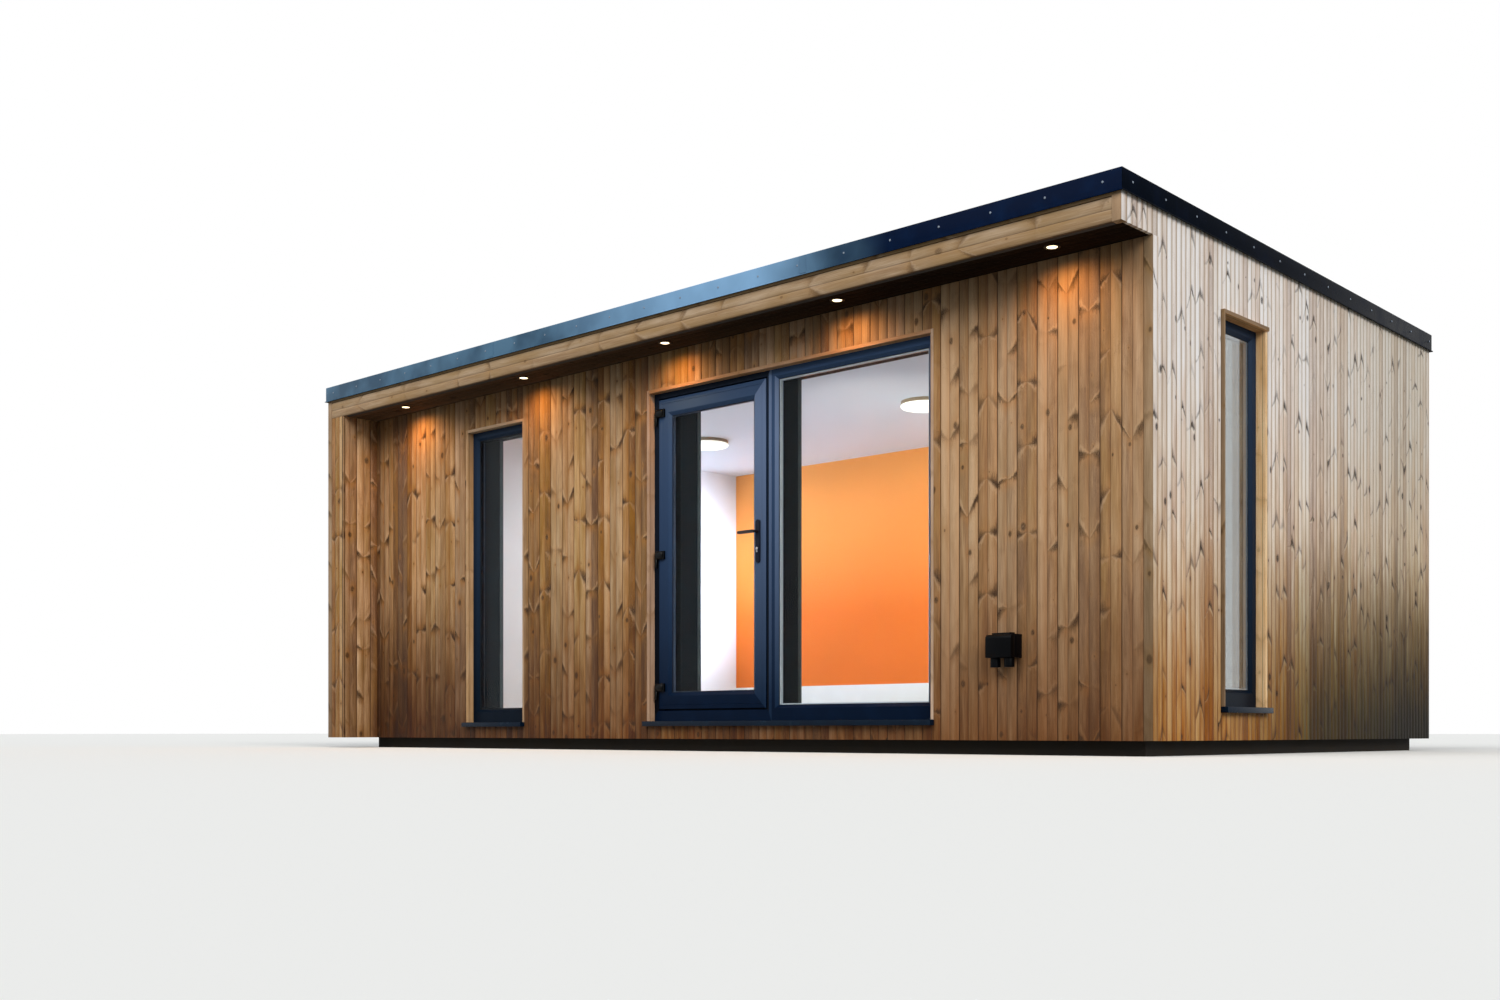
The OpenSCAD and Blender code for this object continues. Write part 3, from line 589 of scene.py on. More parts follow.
wall("rear_wall_boards", facing("rear", 0, REAR_Y), [
    (-INNER_X, INNER_X, FOOT_Z, roof_edge(REAR_Y), roof_edge(REAR_Y))], WALL_T, REAR_WOOD, ORANGE_PAINT, 900,
    ["rear_wall"], -INNER_X)


# ---- Corner boards ------------------------------------------------------------------------------
# Planed softwood, 50 mm square on the face, standing upright at each corner where the boards of two
# walls stop, with eased edges.


def copied(name, soften=0.0, steps=1):
    """A merged copy of a CAD node's form, with its sharp edges rounded off by soften metres."""
    form = bmesh.new()
    form.from_mesh(frame["nodes"][name].data)
    form.transform(frame["nodes"][name].matrix_world)
    bmesh.ops.remove_doubles(form, verts=form.verts, dist=0.00002)
    bmesh.ops.dissolve_limit(form, angle_limit=math.radians(1), verts=form.verts, edges=form.edges)
    if soften:
        sharp = [e for e in form.edges if e.is_manifold and e.calc_face_angle(0) > math.radians(35)]
        bmesh.ops.bevel(form, geom=sharp, offset=soften, segments=steps, affect="EDGES", profile=0.5,
                        clamp_overlap=True)
    return form


def mark_grain(form, verts, centre, axis, number):
    """Writes the board attribute of one board, whose length runs along that axis."""
    layer = form.verts.layers.float_vector["board"]
    for vert in verts:
        away = vert.co - centre
        vert[layer] = (sum(away) - away[axis], vert.co[axis], number)


def number_faces(form, rule):
    """Gives each face the material number that the rule works out from its middle and its normal."""
    for face in form.faces:
        face.material_index = int(rule(face.calc_center_median(), face.normal))


# darker at the foot: painted shade, partly damp
CORNER_WOOD = timber("pine corner board, planed", ("6e543a", "8a7050", "9d8161", "ae9272"), "846848", "3a2818",
                     "8c6a3c", downward=0.5, knotty=0.8, damp_and_painted_shade=[("9c8468", 0.6, FOOT)])
posts = with_grain(copied("corner_posts", 0.002, 2))
left = list(posts.verts)
for number in (601, 604, 603, 605, 602):
    group = [left.pop(0)]
    for vert in group:
        for edge in vert.link_edges:
            other = edge.other_vert(vert)
            if other in left:
                left.remove(other)
                group.append(other)
    mark_grain(posts, group, sum((v.co for v in group), Vector()) / len(group), 2, number)
number_faces(posts, lambda centre, normal: normal.x > 0.7 and centre.x > 3.3)
finished("corner_boards", posts, [CORNER_WOOD, SIDE_WOOD], hides=["corner_posts"])


# ---- Canopy -------------------------------------------------------------------------------------
# The fascia is one grooved board on its side with a narrow strip over it; the soffit's boards run
# along the canopy, face down, nailed up to the roof joists.

FASCIA_WOOD = timber("pine fascia board, oiled", ("806a52", "987e66", "ae967e", "c2ac96"), "9a7e5c",
                     "4a3018", "a07a4a", downward=0.5, knotty=0.6)
# tones painted dark for the canopy's shade, and paler towards the left end: painted light
SOFFIT_WOOD = timber("heat-treated pine, in the canopy's shade", ("0a0603", "120b06", "1c120a", "281b11"),
                     "170e07", "080402", "22150a", downward=0.5, knotty=0.7,
                     bleach_and_light=("6c5440", 0.95, (0, 1.7, -2.9)), shine=0.03)
FASCIA_TOP = 2.608
on_side = Matrix.Translation((0, CANOPY_Y, 0)) @ Matrix(((0, 0, -1, 0), (0, 1, 0, 0), (1, 0, 0, 0), (0, 0, 0, 1)))
form = with_grain(bmesh.new())
edges = (SOFFIT_Z, FASCIA_TOP, -INNER_X, INNER_X, INNER_X)  # on its side, so left and right are heights
lay_boards(form, on_side, FASCIA_WOOD, 621, *edges, SOFFIT_Z)
add_slab(form, on_side, *edges, BOARD_T, POST)
finished("fascia_boards", form, [FASCIA_WOOD, membrane], hides=["fascia"])

face_down = Matrix.Translation((0, 0, SOFFIT_Z)) @ Matrix(((0, 0, 1, 0), (1, 0, 0, 0), (0, 1, 0, 0), (0, 0, 0, 1)))
form = with_grain(bmesh.new())
behind = HALF_W - BOARD_T
lay_boards(form, face_down, SOFFIT_WOOD, 641, -INNER_Y, FRONT_Y, WING_X, behind, behind, -INNER_Y)
finished("soffit_boards", form, [SOFFIT_WOOD], hides=["soffit"])


# ---- Openings: linings and sills ----------------------------------------------------------------
# Planed softwood boards, 20 mm thick, line each opening from the cladding's face back to the frame:
# two jambs with the head between them. Under them lie dark moulded sills with a sloped top.


def plank(form, low, high, axis, number, ease=0.0012):
    """One planed board between two corners, with eased edges and its grain along that axis."""
    made = bmesh.ops.create_cube(form, size=1.0)["verts"]
    for vert in made:
        vert.co = Vector([low[i] + (vert.co[i] + 0.5) * (high[i] - low[i]) for i in range(3)])
    edges = {e for v in made for e in v.link_edges}
    faces = bmesh.ops.bevel(form, geom=list(edges), offset=ease, segments=1, affect="EDGES")["faces"]
    verts = {v for f in faces for v in f.verts} | {v for v in made if v.is_valid}
    mark_grain(form, verts, (Vector(low) + Vector(high)) / 2, axis, number)


LINING_WOOD = timber("pine lining board, planed", ("8c6e54", "a88769", "bc9c80", "ccb096"), "a4805a",
                     "4a2f16", "a07440", downward=0.5, knotty=0.3)
LINING, UNDER_HEAD = 0.02, 2.228
form = with_grain(bmesh.new())
for (left, right), number in ((WINDOW, 661), (DOOR, 665)):
    plank(form, (left, FRONT_Y, SILL_Z), (left + LINING, FRAME_Y, HEAD_Z), 2, number)
    plank(form, (right - LINING, FRONT_Y, SILL_Z), (right, FRAME_Y, HEAD_Z), 2, number + 1)
    plank(form, (left + LINING, FRONT_Y, UNDER_HEAD), (right - LINING, FRAME_Y, HEAD_Z), 0, number + 2)
finished("front_linings", form, [LINING_WOOD], hides=["door_lining"])
# bleached, and painted sunlit: its golden tone stands in for the light on the jambs and head
SIDE_LINING_WOOD = timber("pine lining board, bleached and painted sunlit", ("bc864c", "d9a166", "efbf88", "fad6aa"), "d29a5a",
                          "4a2f16", "b57c3c", downward=0.5, knotty=0.3)
SIDE_SILL_Z, PROUD_X = 0.245, 3.362
form = with_grain(bmesh.new())
plank(form, (INNER_X, SIDE_WINDOW[0], SIDE_SILL_Z), (PROUD_X, -0.92, HEAD_Z), 2, 681)
plank(form, (INNER_X, -0.439, SIDE_SILL_Z), (3.35, SIDE_WINDOW[1], HEAD_Z), 2, 682)
plank(form, (INNER_X, -0.92, UNDER_HEAD), (PROUD_X, SIDE_WINDOW[1], HEAD_Z), 1, 683)
# the near jamb and the head's outer edge take the darker corner wood: painted shade
number_faces(form, lambda centre, normal: centre.y < -0.919 or (centre.z > 2.229 and centre.x > 3.36))
finished("side_window_lining", form, [SIDE_LINING_WOOD, CORNER_WOOD], hides=["window_linings"])


def moulding(name, deep, pale, rough, speckle=900.0, grime=0.5, shine=0.3, painted_reflections=()):
    """Moulded or coated: an even skin with a fine grain and a little dust.

    Each of fades is a painted reflection, given as a colour, its least and greatest share, and the axes
    with the two places between which it comes in.
    """
    made, node = material(name)
    place = node("TexCoord").outputs["Object"]
    dust = node("TexNoise", {"Vector": place, "Scale": 9.0, "Detail": 5.0})
    dust = node("MapRange", [dust, 0.45, 0.8, 0.0, grime])
    skin = node("TexNoise", {"Vector": place, "Scale": speckle, "Detail": 1.0})
    colour = node("Mix RGBA", {0: dust, 6: srgb(deep), 7: srgb(pale)})
    part = node("SeparateXYZ", [place])
    cloud = node("TexNoise", {"Vector": place, "Scale": 3.2, "Detail": 3.0})
    # painted reflections of the sky, coming in between their places
    for reflected_sky, least, most, *places in painted_reflections:
        share = node("MapRange", [cloud, 0.4, 0.62, least, most])
        for axis, low, high in places:
            share = node("MapRange", {0: part.outputs[axis], 1: low, 2: high, 4: share})
        colour = node("Mix RGBA", {0: share, 6: colour, 7: srgb(reflected_sky)})
    node("OutputMaterial", {"Surface": node("BsdfPrincipled", {
        "Base Color": colour, "Specular IOR Level": shine,
        "Roughness": node("MapRange", {0: dust, 3: rough, 4: rough + 0.2}),
        "Normal": node("Bump", {"Strength": 0.12, "Distance": 0.0004, "Height": skin})})})
    return made


SILL_PLASTIC = moulding("PVC sill, gloss dark blue", "031426", "0c2638", 0.22, shine=0.1)
finished("window_and_door_sills", copied("sills", 0.006, 3), [SILL_PLASTIC], hides=["sills"])


# ---- Fixed frames -------------------------------------------------------------------------------
# Extruded PVC profiles in foiled anthracite, welded at mitred corners, with a clipped-in bead that
# slopes down to the glass; the bottom member is deeper than the others.


def foiled(note, deep, pale, reflected_sky, share):
    """The frames' foil, with a painted reflection of the sky: darkest near the ground, and paler towards its top."""
    return moulding("foiled PVC, anthracite" + note, deep, pale, 0.3, speckle=1500.0, grime=0.3, shine=0.04,
                    painted_reflections=[(reflected_sky, share, share, (2, 0.3, 2.1))])


# one foil in four copies: plain, with painted light, with the rebate's painted shade, and with a deeper painted
# shade for the windows
ANTHRACITE = foiled("", "02132a", "0a213e", "3d557a", 0.9)
LIT = foiled(", towards the light", "142740", "1e3450", "6c82a8", 0.9)
SHADED = foiled(", in the shade of the rebate", "040810", "0a121e", "182436", 0.8)
FOIL_IN_SHADE = foiled(", in painted shade", "03101e", "0c1a29", "22344c", 0.9)


def joined(form, rows):
    """The faces between each row of points and the next, and between the last and the first."""
    made = []
    for row, after in zip(rows, rows[1:] + rows[:1]):
        for k in range(len(row)):
            j = (k + 1) % len(row)
            made.append(form.faces.new((row[k], row[j], after[j], after[k])))
    return made


def add_ring(form, turn, low, high, widths, profile, number=0):
    """A four-sided frame with mitred corners.

    low and high are its outer corners in x and z, widths its members' widths at the left, right,
    bottom and top, and profile a closed row of (share of the width, extra inset, depth).
    """
    rows = []
    for share, extra, depth in profile:
        left, right, bottom, top = [w * share + extra for w in widths]
        rows.append([form.verts.new(turn @ Vector((x, depth, z))) for x, z in (
            (low[0] + left, low[1] + bottom), (high[0] - right, low[1] + bottom),
            (high[0] - right, high[1] - top), (low[0] + left, high[1] - top))])
    for face in joined(form, rows):
        face.material_index = number


def ring_form(turn, low, high, widths, profile, rule):
    """A form with one ring, its faces numbered by the rule."""
    form = bmesh.new()
    add_ring(form, turn, low, high, widths, profile)
    bmesh.ops.recalc_face_normals(form, faces=form.faces)
    number_faces(form, rule)
    return form


# (share, extra, depth): the face, the bead's edge and slope, the glass rebate and the inner face
FIXED_PROFILE = [
    (0, 0.0, 0.002), (0, 0.002, 0.0), (1, -0.0175, 0.0), (1, -0.0165, 0.0012), (1, -0.015, 0.0012),
    (1, -0.003, 0.013), (1, 0.0, 0.016), (1, 0.0, 0.018), (1, -0.014, 0.018), (1, -0.014, 0.0465), (1, 0.0, 0.0465),
    (1, 0.0, 0.052), (1, -0.014, 0.065), (1, -0.016, 0.075), (0, 0.002, 0.075), (0, 0.0, 0.073)]
in_front = Matrix.Translation((0, FRAME_Y, 0))
at_side = facing("right", INNER_X, 0)
MITRED = (0.076, 0.076, 0.09, 0.076)
MULLION_X = 0.8615
for name, turn, low, high, widths, foil, hidden in [
        ("front_window_profile", in_front, (WINDOW[0], SILL_Z), (WINDOW[1], HEAD_Z), MITRED, FOIL_IN_SHADE,
         "front_window_frame"),
        ("sidelight_profile", in_front, (MULLION_X, SILL_Z), (DOOR[1], HEAD_Z), (0.0435, *MITRED[1:]), ANTHRACITE,
         "sidelight_frame"),
        ("side_window_profile", at_side, (SIDE_WINDOW[0], SIDE_SILL_Z), (SIDE_WINDOW[1], HEAD_Z), MITRED, FOIL_IN_SHADE,
         "side_window_frame")]:
    # the sidelight's member next to the mullion takes the foil painted lit
    form = ring_form(turn, low, high, widths, FIXED_PROFILE, lambda centre, normal: 0.887 < centre.x < 0.93)
    finished(name, form, [foil, LIT], hides=[hidden])


# ---- Glass --------------------------------------------------------------------------------------
# Sealed double glazing: two 4 mm panes either side of a grey spacer bar, held by black gaskets.

# clear, with a faint smear; the bright one bends light more, so it mirrors more
CLEAR_GLASS, BRIGHT_GLASS = [
    clouded(name, "f2f8f7", "fafdfd", {"Scale": 3.0, "Detail": 3.0},
            {"Roughness": 0.0, "IOR": bend, "Transmission Weight": 1.0})
    for name, bend in (("float glass, clear", 1.09), ("float glass, mirroring the sky", 1.9))]
SPACER = moulding("spacer bar, grey", "a4acb8", "bcc3cc", 0.4)
# darker copies of the spacer for the front window and the leaf: painted shade
SPACER_IN_SHADE = moulding("spacer bar, painted in shade", "141a22", "202731", 0.5, shine=0.1)
BLUE_SPACER_IN_SHADE = moulding("spacer bar, blue, painted in shade", "3c4a62", "54627a", 0.5, shine=0.1)
GASKET = moulding("EPDM gasket, black", "0c0d0e", "191a1b", 0.7)
PANE = 0.004


def add_glazing(form, turn, low, high, front, back, spacer=0.01):
    """Two panes, the spacer of that depth between their edges and a gasket round each face."""
    for y in (front + 0.0005, back - 0.0045):
        add_block(form, turn, [low, (high[0], low[1]), high, (low[0], high[1])], y, y + PANE)
    bar = [(0, 0.0015, front + 0.0048), (0, spacer, front + 0.0048), (0, spacer, back - 0.0048),
           (0, 0.0015, back - 0.0048)]
    add_ring(form, turn, low, high, (0, 0, 0, 0), bar, 1)
    for y in (front - 0.001, back - 0.0005):
        lip = [(0, 0.0005, y), (0, 0.003, y), (0, 0.0035, y + 0.0014), (0, 0.0005, y + 0.0014)]
        add_ring(form, turn, low, high, (0, 0, 0, 0), lip, 2)
    bmesh.ops.recalc_face_normals(form, faces=form.faces)


STRAIGHT = Matrix.Identity(4)
LOW_Z, TOP_Z, UNIT_Y = 0.273, 2.172, (-1.555, -1.527)
form = bmesh.new()
add_glazing(form, STRAIGHT, (-1.948, LOW_Z), (-1.446, TOP_Z), *UNIT_Y)
for face in form.faces:
    face.material_index += 3
add_glazing(form, at_side, (-0.854, 0.335), (-0.495, TOP_Z), 0.018, 0.046)
finished("window_glazing", form, [BRIGHT_GLASS, SPACER, GASKET, CLEAR_GLASS, SPACER_IN_SHADE, GASKET],
         hides=["window_glass"])
form = bmesh.new()
add_glazing(form, STRAIGHT, (0.905, LOW_Z), (1.99, TOP_Z), *UNIT_Y)
finished("sidelight_glazing", form, [CLEAR_GLASS, SPACER, GASKET], hides=["sidelight_glass"])
form = bmesh.new()
add_glazing(form, STRAIGHT, (0.017, 0.362), (0.713, 2.081), -1.56, -1.532, 0.0055)
finished("door_glazing", form, [CLEAR_GLASS, BLUE_SPACER_IN_SHADE, GASKET], body="door", hides=["door_glass"])


# ---- Door set -----------------------------------------------------------------------------------
# The same foiled profile: a frame with a rebate that the leaf shuts into, and the leaf, a wider
# mitred sash with a sloped bead round its glass.

DOOR_FRAME_PROFILE = [
    (0, 0.0, 0.002), (0, 0.002, 0.0), (1, -0.014, 0.0), (1, -0.002, 0.0), (1, 0.0, 0.002), (1, 0.0, 0.056),
    (1, 0.016, 0.056), (1, 0.016, 0.073), (1, 0.014, 0.075), (0, 0.002, 0.075), (0, 0.0, 0.073)]
# above the sill the frame takes the foil in painted shade, and the mullion's face the foil painted lit
form = ring_form(in_front, (DOOR[0], SILL_Z), (MULLION_X, HEAD_Z), (0.054, 0.0355, 0.066, 0.054), DOOR_FRAME_PROFILE,
                 lambda centre, normal: centre.z > 0.25 and (1 if centre.x < 0.842 or centre.z > 2.18 else 2))
finished("door_frame_profile", form, [ANTHRACITE, SHADED, LIT], hides=["door_frame"])

SASH_PROFILE = [
    (0, 0.0, 0.004), (0, 0.003, 0.001), (0, 0.026, 0.0), (0, 0.028, 0.0022), (0, 0.029, 0.0008), (1, -0.022, 0.0),
    (1, -0.0205, 0.0012), (1, -0.019, 0.0012), (1, -0.003, 0.014), (1, 0.0, 0.016), (1, 0.0, 0.018),
    (1, -0.014, 0.018), (1, -0.014, 0.0465), (1, 0.0, 0.0465), (1, -0.003, 0.049), (1, -0.02, 0.055),
    (0, 0.003, 0.055), (0, 0.0, 0.052)]
# the right stile's outer face takes the foil painted lit
form = ring_form(Matrix.Translation((0, -1.578, 0)), (-0.088, 0.257), (0.818, 2.186), [0.105] * 4, SASH_PROFILE,
                 lambda centre, normal: 0.7 < centre.x < 0.8175 and abs(centre.z - 1.22) < 0.8 and centre.y < -1.563)
finished("door_sash", form, [ANTHRACITE, LIT], body="door", hides=["door_leaf"])


# ---- Door furniture -----------------------------------------------------------------------------
# Flag hinges, long backplates and a lever, all die-cast and gloss black.

BLACK_METAL = moulding("die-cast zinc, gloss black", "020305", "07090d", 0.15, shine=0.12)
PLATE_METAL = moulding("die-cast zinc, satin dark", "141827", "232a3c", 0.3, shine=0.1)
LEVER_METAL = moulding("die-cast zinc, worn black", "1c1112", "30201d", 0.2, shine=0.4)
NICKEL = moulding("lock cylinder, satin nickel", "b4b8c2", "ccd0d8", 0.3, shine=0.6)


def add_lathe(form, turn, profile, number=0, steps=24):
    """A turned part round the turn's Z axis; profile is a row of (radius, height) that starts or ends at 0."""
    rows = []
    for radius, height in profile:
        count = steps if radius else 1
        rows.append([form.verts.new(turn @ Vector((radius * math.cos(2 * math.pi * k / steps),
                                                   radius * math.sin(2 * math.pi * k / steps), height)))
                     for k in range(count)])
    made = []
    for one, two in zip(rows, rows[1:]):
        for k in range(steps):
            j = (k + 1) % steps
            ring = [one[k % len(one)], one[j % len(one)], two[j % len(two)], two[k % len(two)]]
            made.append(form.faces.new(list(dict.fromkeys(ring))))
    for face in made:
        face.material_index = number
    bmesh.ops.recalc_face_normals(form, faces=made)


def lying(place, axis, sign=1):
    """Lays a lathe over by a quarter turn about X or Y, at that place."""
    return Matrix.Translation(place) @ Matrix.Rotation(sign * math.radians(90), 4, axis)


finished("hinge_knuckles_frame", copied("hinges_frame", 0.0015, 2), [BLACK_METAL], hides=["hinges_frame"])
flags = copied("hinges_leaf", 0.0095, 4)
# each flag's rounded cap, beside its knuckle
flat = Matrix.Diagonal((1, 0.48, 1, 1))
for z in (0.3935, 1.218, 2.1025):
    add_lathe(flags, Matrix.Translation((-0.101, -1.59, z)) @ flat @ lying((0, 0, 0), "Y"),
              [(0, 0.0055), (0.019, 0.006), (0.024, 0.0085), (0.0252, 0.012), (0.0252, 0.05),
               (0.0236, 0.056), (0.018, 0.06), (0, 0.0612)], 0, 28)
finished("hinge_flags", flags, [BLACK_METAL], body="door", hides=["hinges_leaf"])
plates = copied("handle_plates", 0.0055, 3)
for z, profile, steps in [
        (1.193, [(0, -0.002), (0.0085, -0.002), (0.0085, 0.0016), (0.0078, 0.0024), (0, 0.0024)], 24),
        (1.177, [(0, -0.002), (0.005, -0.002), (0.005, 0.0014), (0.0044, 0.002), (0, 0.002)], 16)]:
    add_lathe(plates, lying((0.763, -1.594, z), "X"), profile, 1, steps)
finished("door_backplates", plates, [PLATE_METAL, NICKEL], body="door", hides=["handle_plates"])
finished("door_lever", copied("lever", 0.0055, 3), [LEVER_METAL], body="lever", hides=["lever"])


# ---- Outdoor socket -----------------------------------------------------------------------------
# A double socket in a black moulded box with a hinged cover; the cable entries are under it.

BLACK_PLASTIC = moulding("polycarbonate, matt black", "010204", "060910", 0.3, shine=0.06)
finished("outdoor_socket_box", copied("socket_box", 0.006, 3), [BLACK_PLASTIC], hides=["socket_box"])
finished("outdoor_socket_cover", copied("socket_cover", 0.0014, 2), [BLACK_PLASTIC], body="socket_lid",
         hides=["socket_cover"])


# ---- Roof ---------------------------------------------------------------------------------------
# A timber deck under one rubber sheet, edged all round with folded steel trim, gloss dark blue,
# lapped at joints and screwed along its foot.


def finish_node(name, finish):
    """Gives a CAD node that stays as it is its material."""
    for held_slot in frame["nodes"][name].material_slots:
        held_slot.material = finish


def eave(y):
    """The height of the trim's lower edge at that distance from the front."""
    return roof_edge(y) - 0.0149


TRIM_STEEL = moulding("coated steel, gloss dark blue", "020814", "071226", 0.25, speckle=6.0, shine=0.01)
# the front face carries a painted reflection of the sky, brightest a little right of the middle
SKY_PAINTED_STEEL = moulding("coated steel, gloss dark blue, facing the open sky", "041430", "0a2448", 0.2, speckle=6.0,
                       shine=0.02, painted_reflections=[("78a6c8", 0.26, 0.5, (0, 2.0, 1.3)),
                                          ("8ab5de", 0.85, 1.0, (0, 1.6, 1.05), (0, -0.8, 0.5))])
SCREW = moulding("screw head, zinc", "7d8a9c", "a3aebc", 0.35, shine=0.4)
# the rear cover strips, painted paler than the trim: a painted highlight
LAPPED = moulding("coated steel, cover strip with a painted highlight", "1c3050", "2c4870", 0.2, speckle=6.0, shine=0.05)
# (out, up): the drip, the face, the fold, the flange on the roof and back inside
FOLDED = [(0.018, 0.0), (0.018, 0.0045), (0.0165, 0.006), (0.013, 0.007), (0.012, 0.008), (0.012, 0.103),
          (0.0113, 0.1055), (0.0095, 0.1073), (0.007, 0.108), (-0.07, 0.108), (-0.07, 0.105), (0.009, 0.104),
          (0.009, 0.002), (0.012, 0.0)]
form = bmesh.new()
rows = []
for out, up in FOLDED:
    x, y0, y1 = HALF_W + out, CANOPY_Y - out, REAR_Y + out
    rows.append([form.verts.new((a, b, eave(b) + up)) for a, b in ((-x, y0), (x, y0), (x, y1), (-x, y1))])
joined(form, rows)
bmesh.ops.recalc_face_normals(form, faces=form.faces)
# the front faces take the steel with the painted reflection of the sky
number_faces(form, lambda centre, normal: 3 * (normal.y < -0.5))
corners = [e for e in form.edges if abs(e.verts[0].co.z - e.verts[1].co.z) > 0.09 and
           max(abs(v.co.x) for v in e.verts) > HALF_W + 0.011]
bmesh.ops.bevel(form, geom=corners, offset=0.0025, segments=2, affect="EDGES", profile=0.5)

# lapped joints with a cover strip, and a dome-headed screw every 0.31 m
SCREW_Z, FACE_OUT, LAP_X = 0.058, 0.012, 1.418
DOME = [(0.006, 0.0), (0.006, 0.0004), (0.0052, 0.0016), (0.003, 0.0023), (0, 0.0025)]
for y, sign in ((CANOPY_Y - FACE_OUT, -1), (REAR_Y + FACE_OUT, 1)):
    for x in (LAP_X, -1.334):
        strip = bmesh.ops.create_cube(form, size=1.0)["verts"]
        for vert in strip:
            vert.co = Vector((x + vert.co.x * 0.046, y + sign * (vert.co.y * 0.0024 + 0.001),
                              eave(y) + 0.0565 + vert.co.z * 0.094))
        # front strips take the painted sky reflection, the rear ones the paler steel with its painted highlight
        for face in {f for v in strip for f in v.link_faces}:
            face.material_index = 3 if sign < 0 else 2
    for k in range(22):
        x = -3.255 + 0.31 * k
        x += (0.01 if x > LAP_X else -0.018) if abs(x - LAP_X) < 0.1 else 0.0
        add_lathe(form, lying((x, y, eave(y) + SCREW_Z), "X", -sign), DOME, 1, 10)
for x, sign in ((HALF_W + FACE_OUT, 1), (-HALF_W - FACE_OUT, -1)):
    for k in range(13):
        y = -1.833 + 0.31 * k
        add_lathe(form, lying((x, y, eave(y) + SCREW_Z), "Y", sign), DOME, 1, 10)
finished("folded_roof_trim", form, [TRIM_STEEL, SCREW, LAPPED, SKY_PAINTED_STEEL],
         hides=["trim_front", "trim_rear", "trim_sides"])

RUBBER = moulding("EPDM roofing sheet, charcoal", "2c2d2f", "454648", 0.75)
sheet = copied("roof_sheet")
for x in (-1.15, 1.15):
    lap = bmesh.ops.create_cube(sheet, size=1.0)["verts"]
    for vert in lap:
        y = vert.co.y * 3.68
        vert.co = Vector((x + vert.co.x * 0.075, y, eave(y) + 0.1048 + vert.co.z * 0.0012))
finished("roof_membrane", sheet, [RUBBER], hides=["roof_sheet"])
finish_node("roof_deck", moulding("roof deck, spruce ply", "8a7048", "a88c60", 0.8))


# ---- Base and floor -----------------------------------------------------------------------------
# Dark treated bearers set back under the cladding, and a boarded floor in the room.

finish_node("base_frame", moulding("treated softwood bearers, dark", "1d1812", "342b20", 0.85))
finish_node("floor", moulding("laminate floor, grey oak", "8f8980", "a8a298", 0.4))


# ---- Inside -------------------------------------------------------------------------------------
# Plasterboard ceiling and left wall, painted white, a tall white skirting under the orange wall,
# dark reveals behind the frames and two round flush lamps.

finish_node("ceiling", CEILING_PAINT)
finish_node("room_left_wall", WHITE_PAINT)
finish_node("skirting", moulding("MDF skirting, white satin", "e4e2de", "f0efec", 0.35))
finish_node("inner_reveals", moulding("reveal lining board, dark grey", "0a161e", "13222b", 0.5, speckle=5.0,
                                      shine=0.05))
# the beads' pale grey is a painted highlight on each reveal's arris
BEAD = moulding("angle bead, grey as a painted highlight", "4c5658", "646e70", 0.6, shine=0.1)
form = with_grain(bmesh.new())
for x, facing_right in ((0.03, 1), (0.8755, 1), (0.8475, -1), (2.026, -1), (-1.984, 1), (-1.41, -1)):
    bottom = 0.224 if x < -1 else 0.202
    ends = sorted((x, x + 0.0015 * facing_right))
    plank(form, (ends[0], -1.353, bottom), (ends[1], -1.3235, 2.207), 2, 0, 0.0003)
finished("reveal_beads", form, [BEAD])

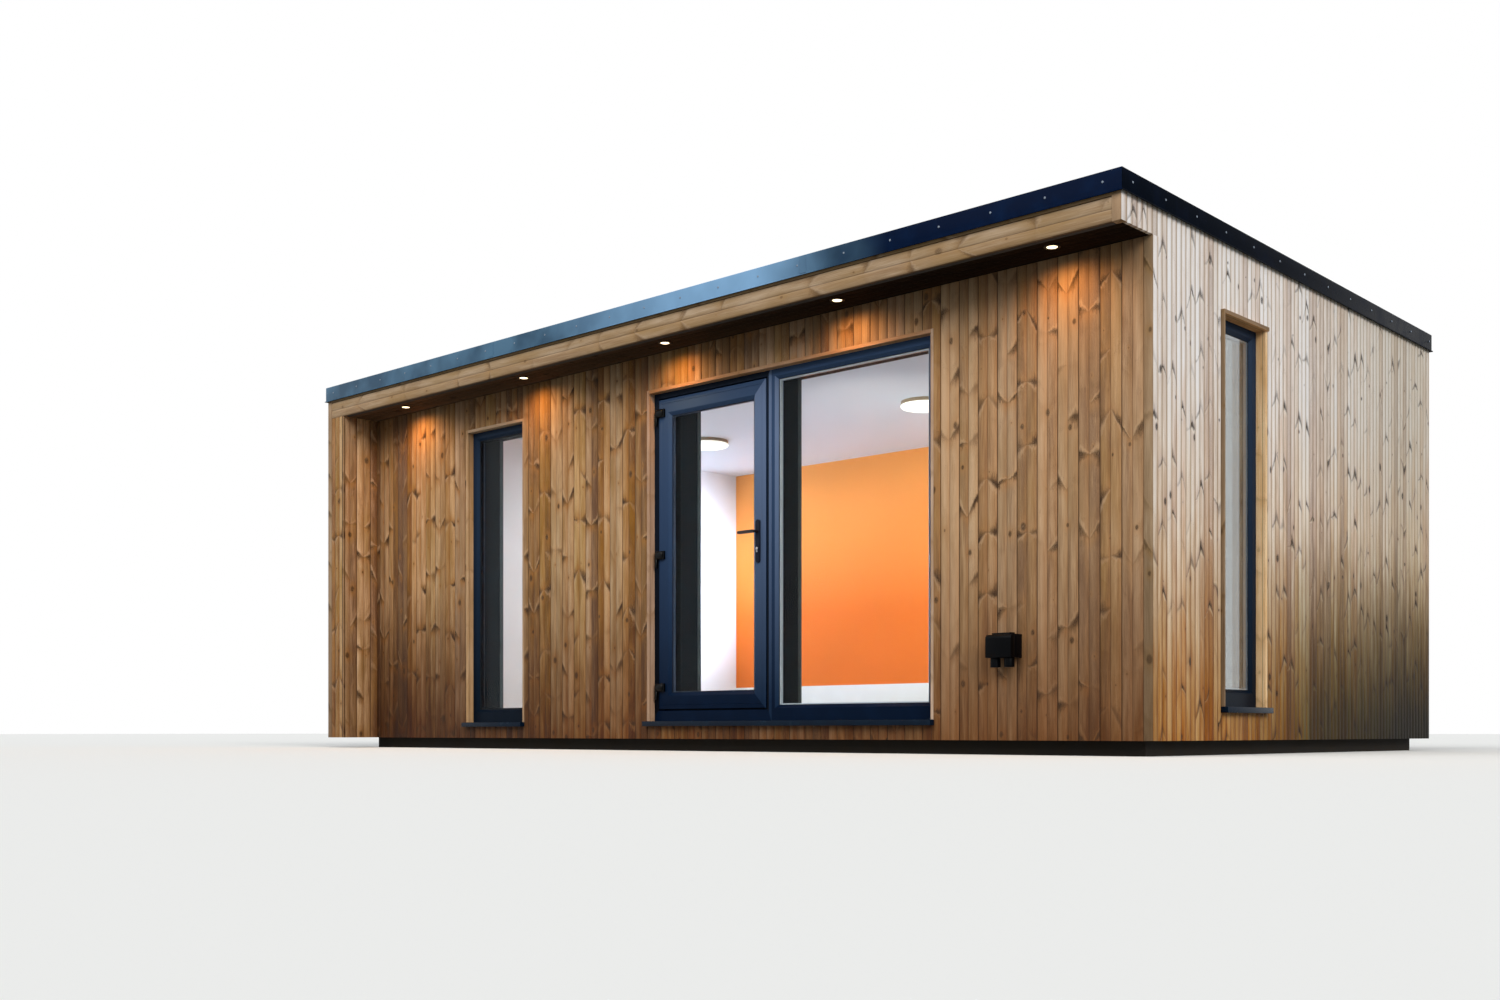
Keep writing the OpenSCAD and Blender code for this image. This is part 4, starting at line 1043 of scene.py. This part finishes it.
# milky diffusers that glow evenly, with their lamps lit behind them
OPAL, LENS = [
    clouded(name, code, "ffffff", {"Scale": 40.0},
            {"Roughness": 0.4, "Emission Color": srgb(code), "Emission Strength": power})
    for name, code, power in (("opal acrylic, lit", "fff9f0", 0.8), ("frosted lens, lit warm", "ffe2b4", 3.5))]
RIM = moulding("lamp base, satin beige", "94826c", "a8967f", 0.5)
form = bmesh.new()
CEILING_LAMPS = {"left": (-1.485, 0.247), "right": (0.615, 0.247)}
for x, y in CEILING_LAMPS.values():
    turn = Matrix.Translation((x, y, 2.361))
    add_lathe(form, turn, [(0, 0), (0.166, 0), (0.168, -0.002), (0.168, -0.02), (0.16, -0.024), (0, -0.024)], 1, 48)
    add_lathe(form, turn, [(0, -0.0245), (0.166, -0.0245), (0.1695, -0.028), (0.1695, -0.036), (0.162, -0.044),
                           (0.14, -0.05), (0.08, -0.054), (0, -0.0548)], 0, 48)
finished("ceiling_lamp_discs", form, [OPAL, RIM], hides=["ceiling_lamps"])
BEZEL = moulding("downlight bezel, satin nickel", "3a332c", "4c443b", 0.4, shine=0.1)
LAMP_X, LAMP_PITCH = 2.894, 1.355
form = bmesh.new()
for i in range(5):
    turn = Matrix.Translation((LAMP_X - LAMP_PITCH * i, -1.7847, SOFFIT_Z))
    add_lathe(form, turn, [(0, 0), (0.0415, 0), (0.0418, -0.0015), (0.04, -0.0035), (0.029, -0.0038),
                           (0.027, -0.0015), (0, -0.0015)], 1, 32)
    add_lathe(form, turn, [(0, -0.0017), (0.0265, -0.0017), (0.026, -0.0026), (0.014, -0.0032), (0, -0.0034)], 0, 32)
finished("downlight_rings", form, [LENS, BEZEL], hides=["downlights"])

# the building's own lamps and their bounce, as soft lights that aren't themselves seen
for name, place, size, power, colour, towards, spread in [
        *[("ceiling lamp " + side, (*spot, 2.29), 0.34, 34, "f0f4ff", (0, 0, -1), 180)
          for side, spot in CEILING_LAMPS.items()],
        ("bounce from the floor", (0.2, 0.1, 0.35), 2.2, 13, "c4dcff", (0, 0, 1), 180),
        ("bounce from the right wall", (-1.6, 0.8, 1.4), 0.7, 34, "c8dcff", (-1, 0, 0), 105),
        ("light through the front", (0.6, -0.9, 1.5), 1.4, 12, "fff6ea", (0, 1, 0), 100)]:
    lamp = shine("AREA", name, power, colour, towards, place, shape="DISK", size=size, spread=math.radians(spread))
    lamp.visible_camera = lamp.visible_glossy = lamp.visible_transmission = False
for i in range(5):
    shine("SPOT", "downlight beam %d" % i, 13 + i, "ffbc70", place=(LAMP_X - LAMP_PITCH * i, -1.785, 2.456),
          spot_size=math.radians(172), spot_blend=1.0, shadow_soft_size=0.03)
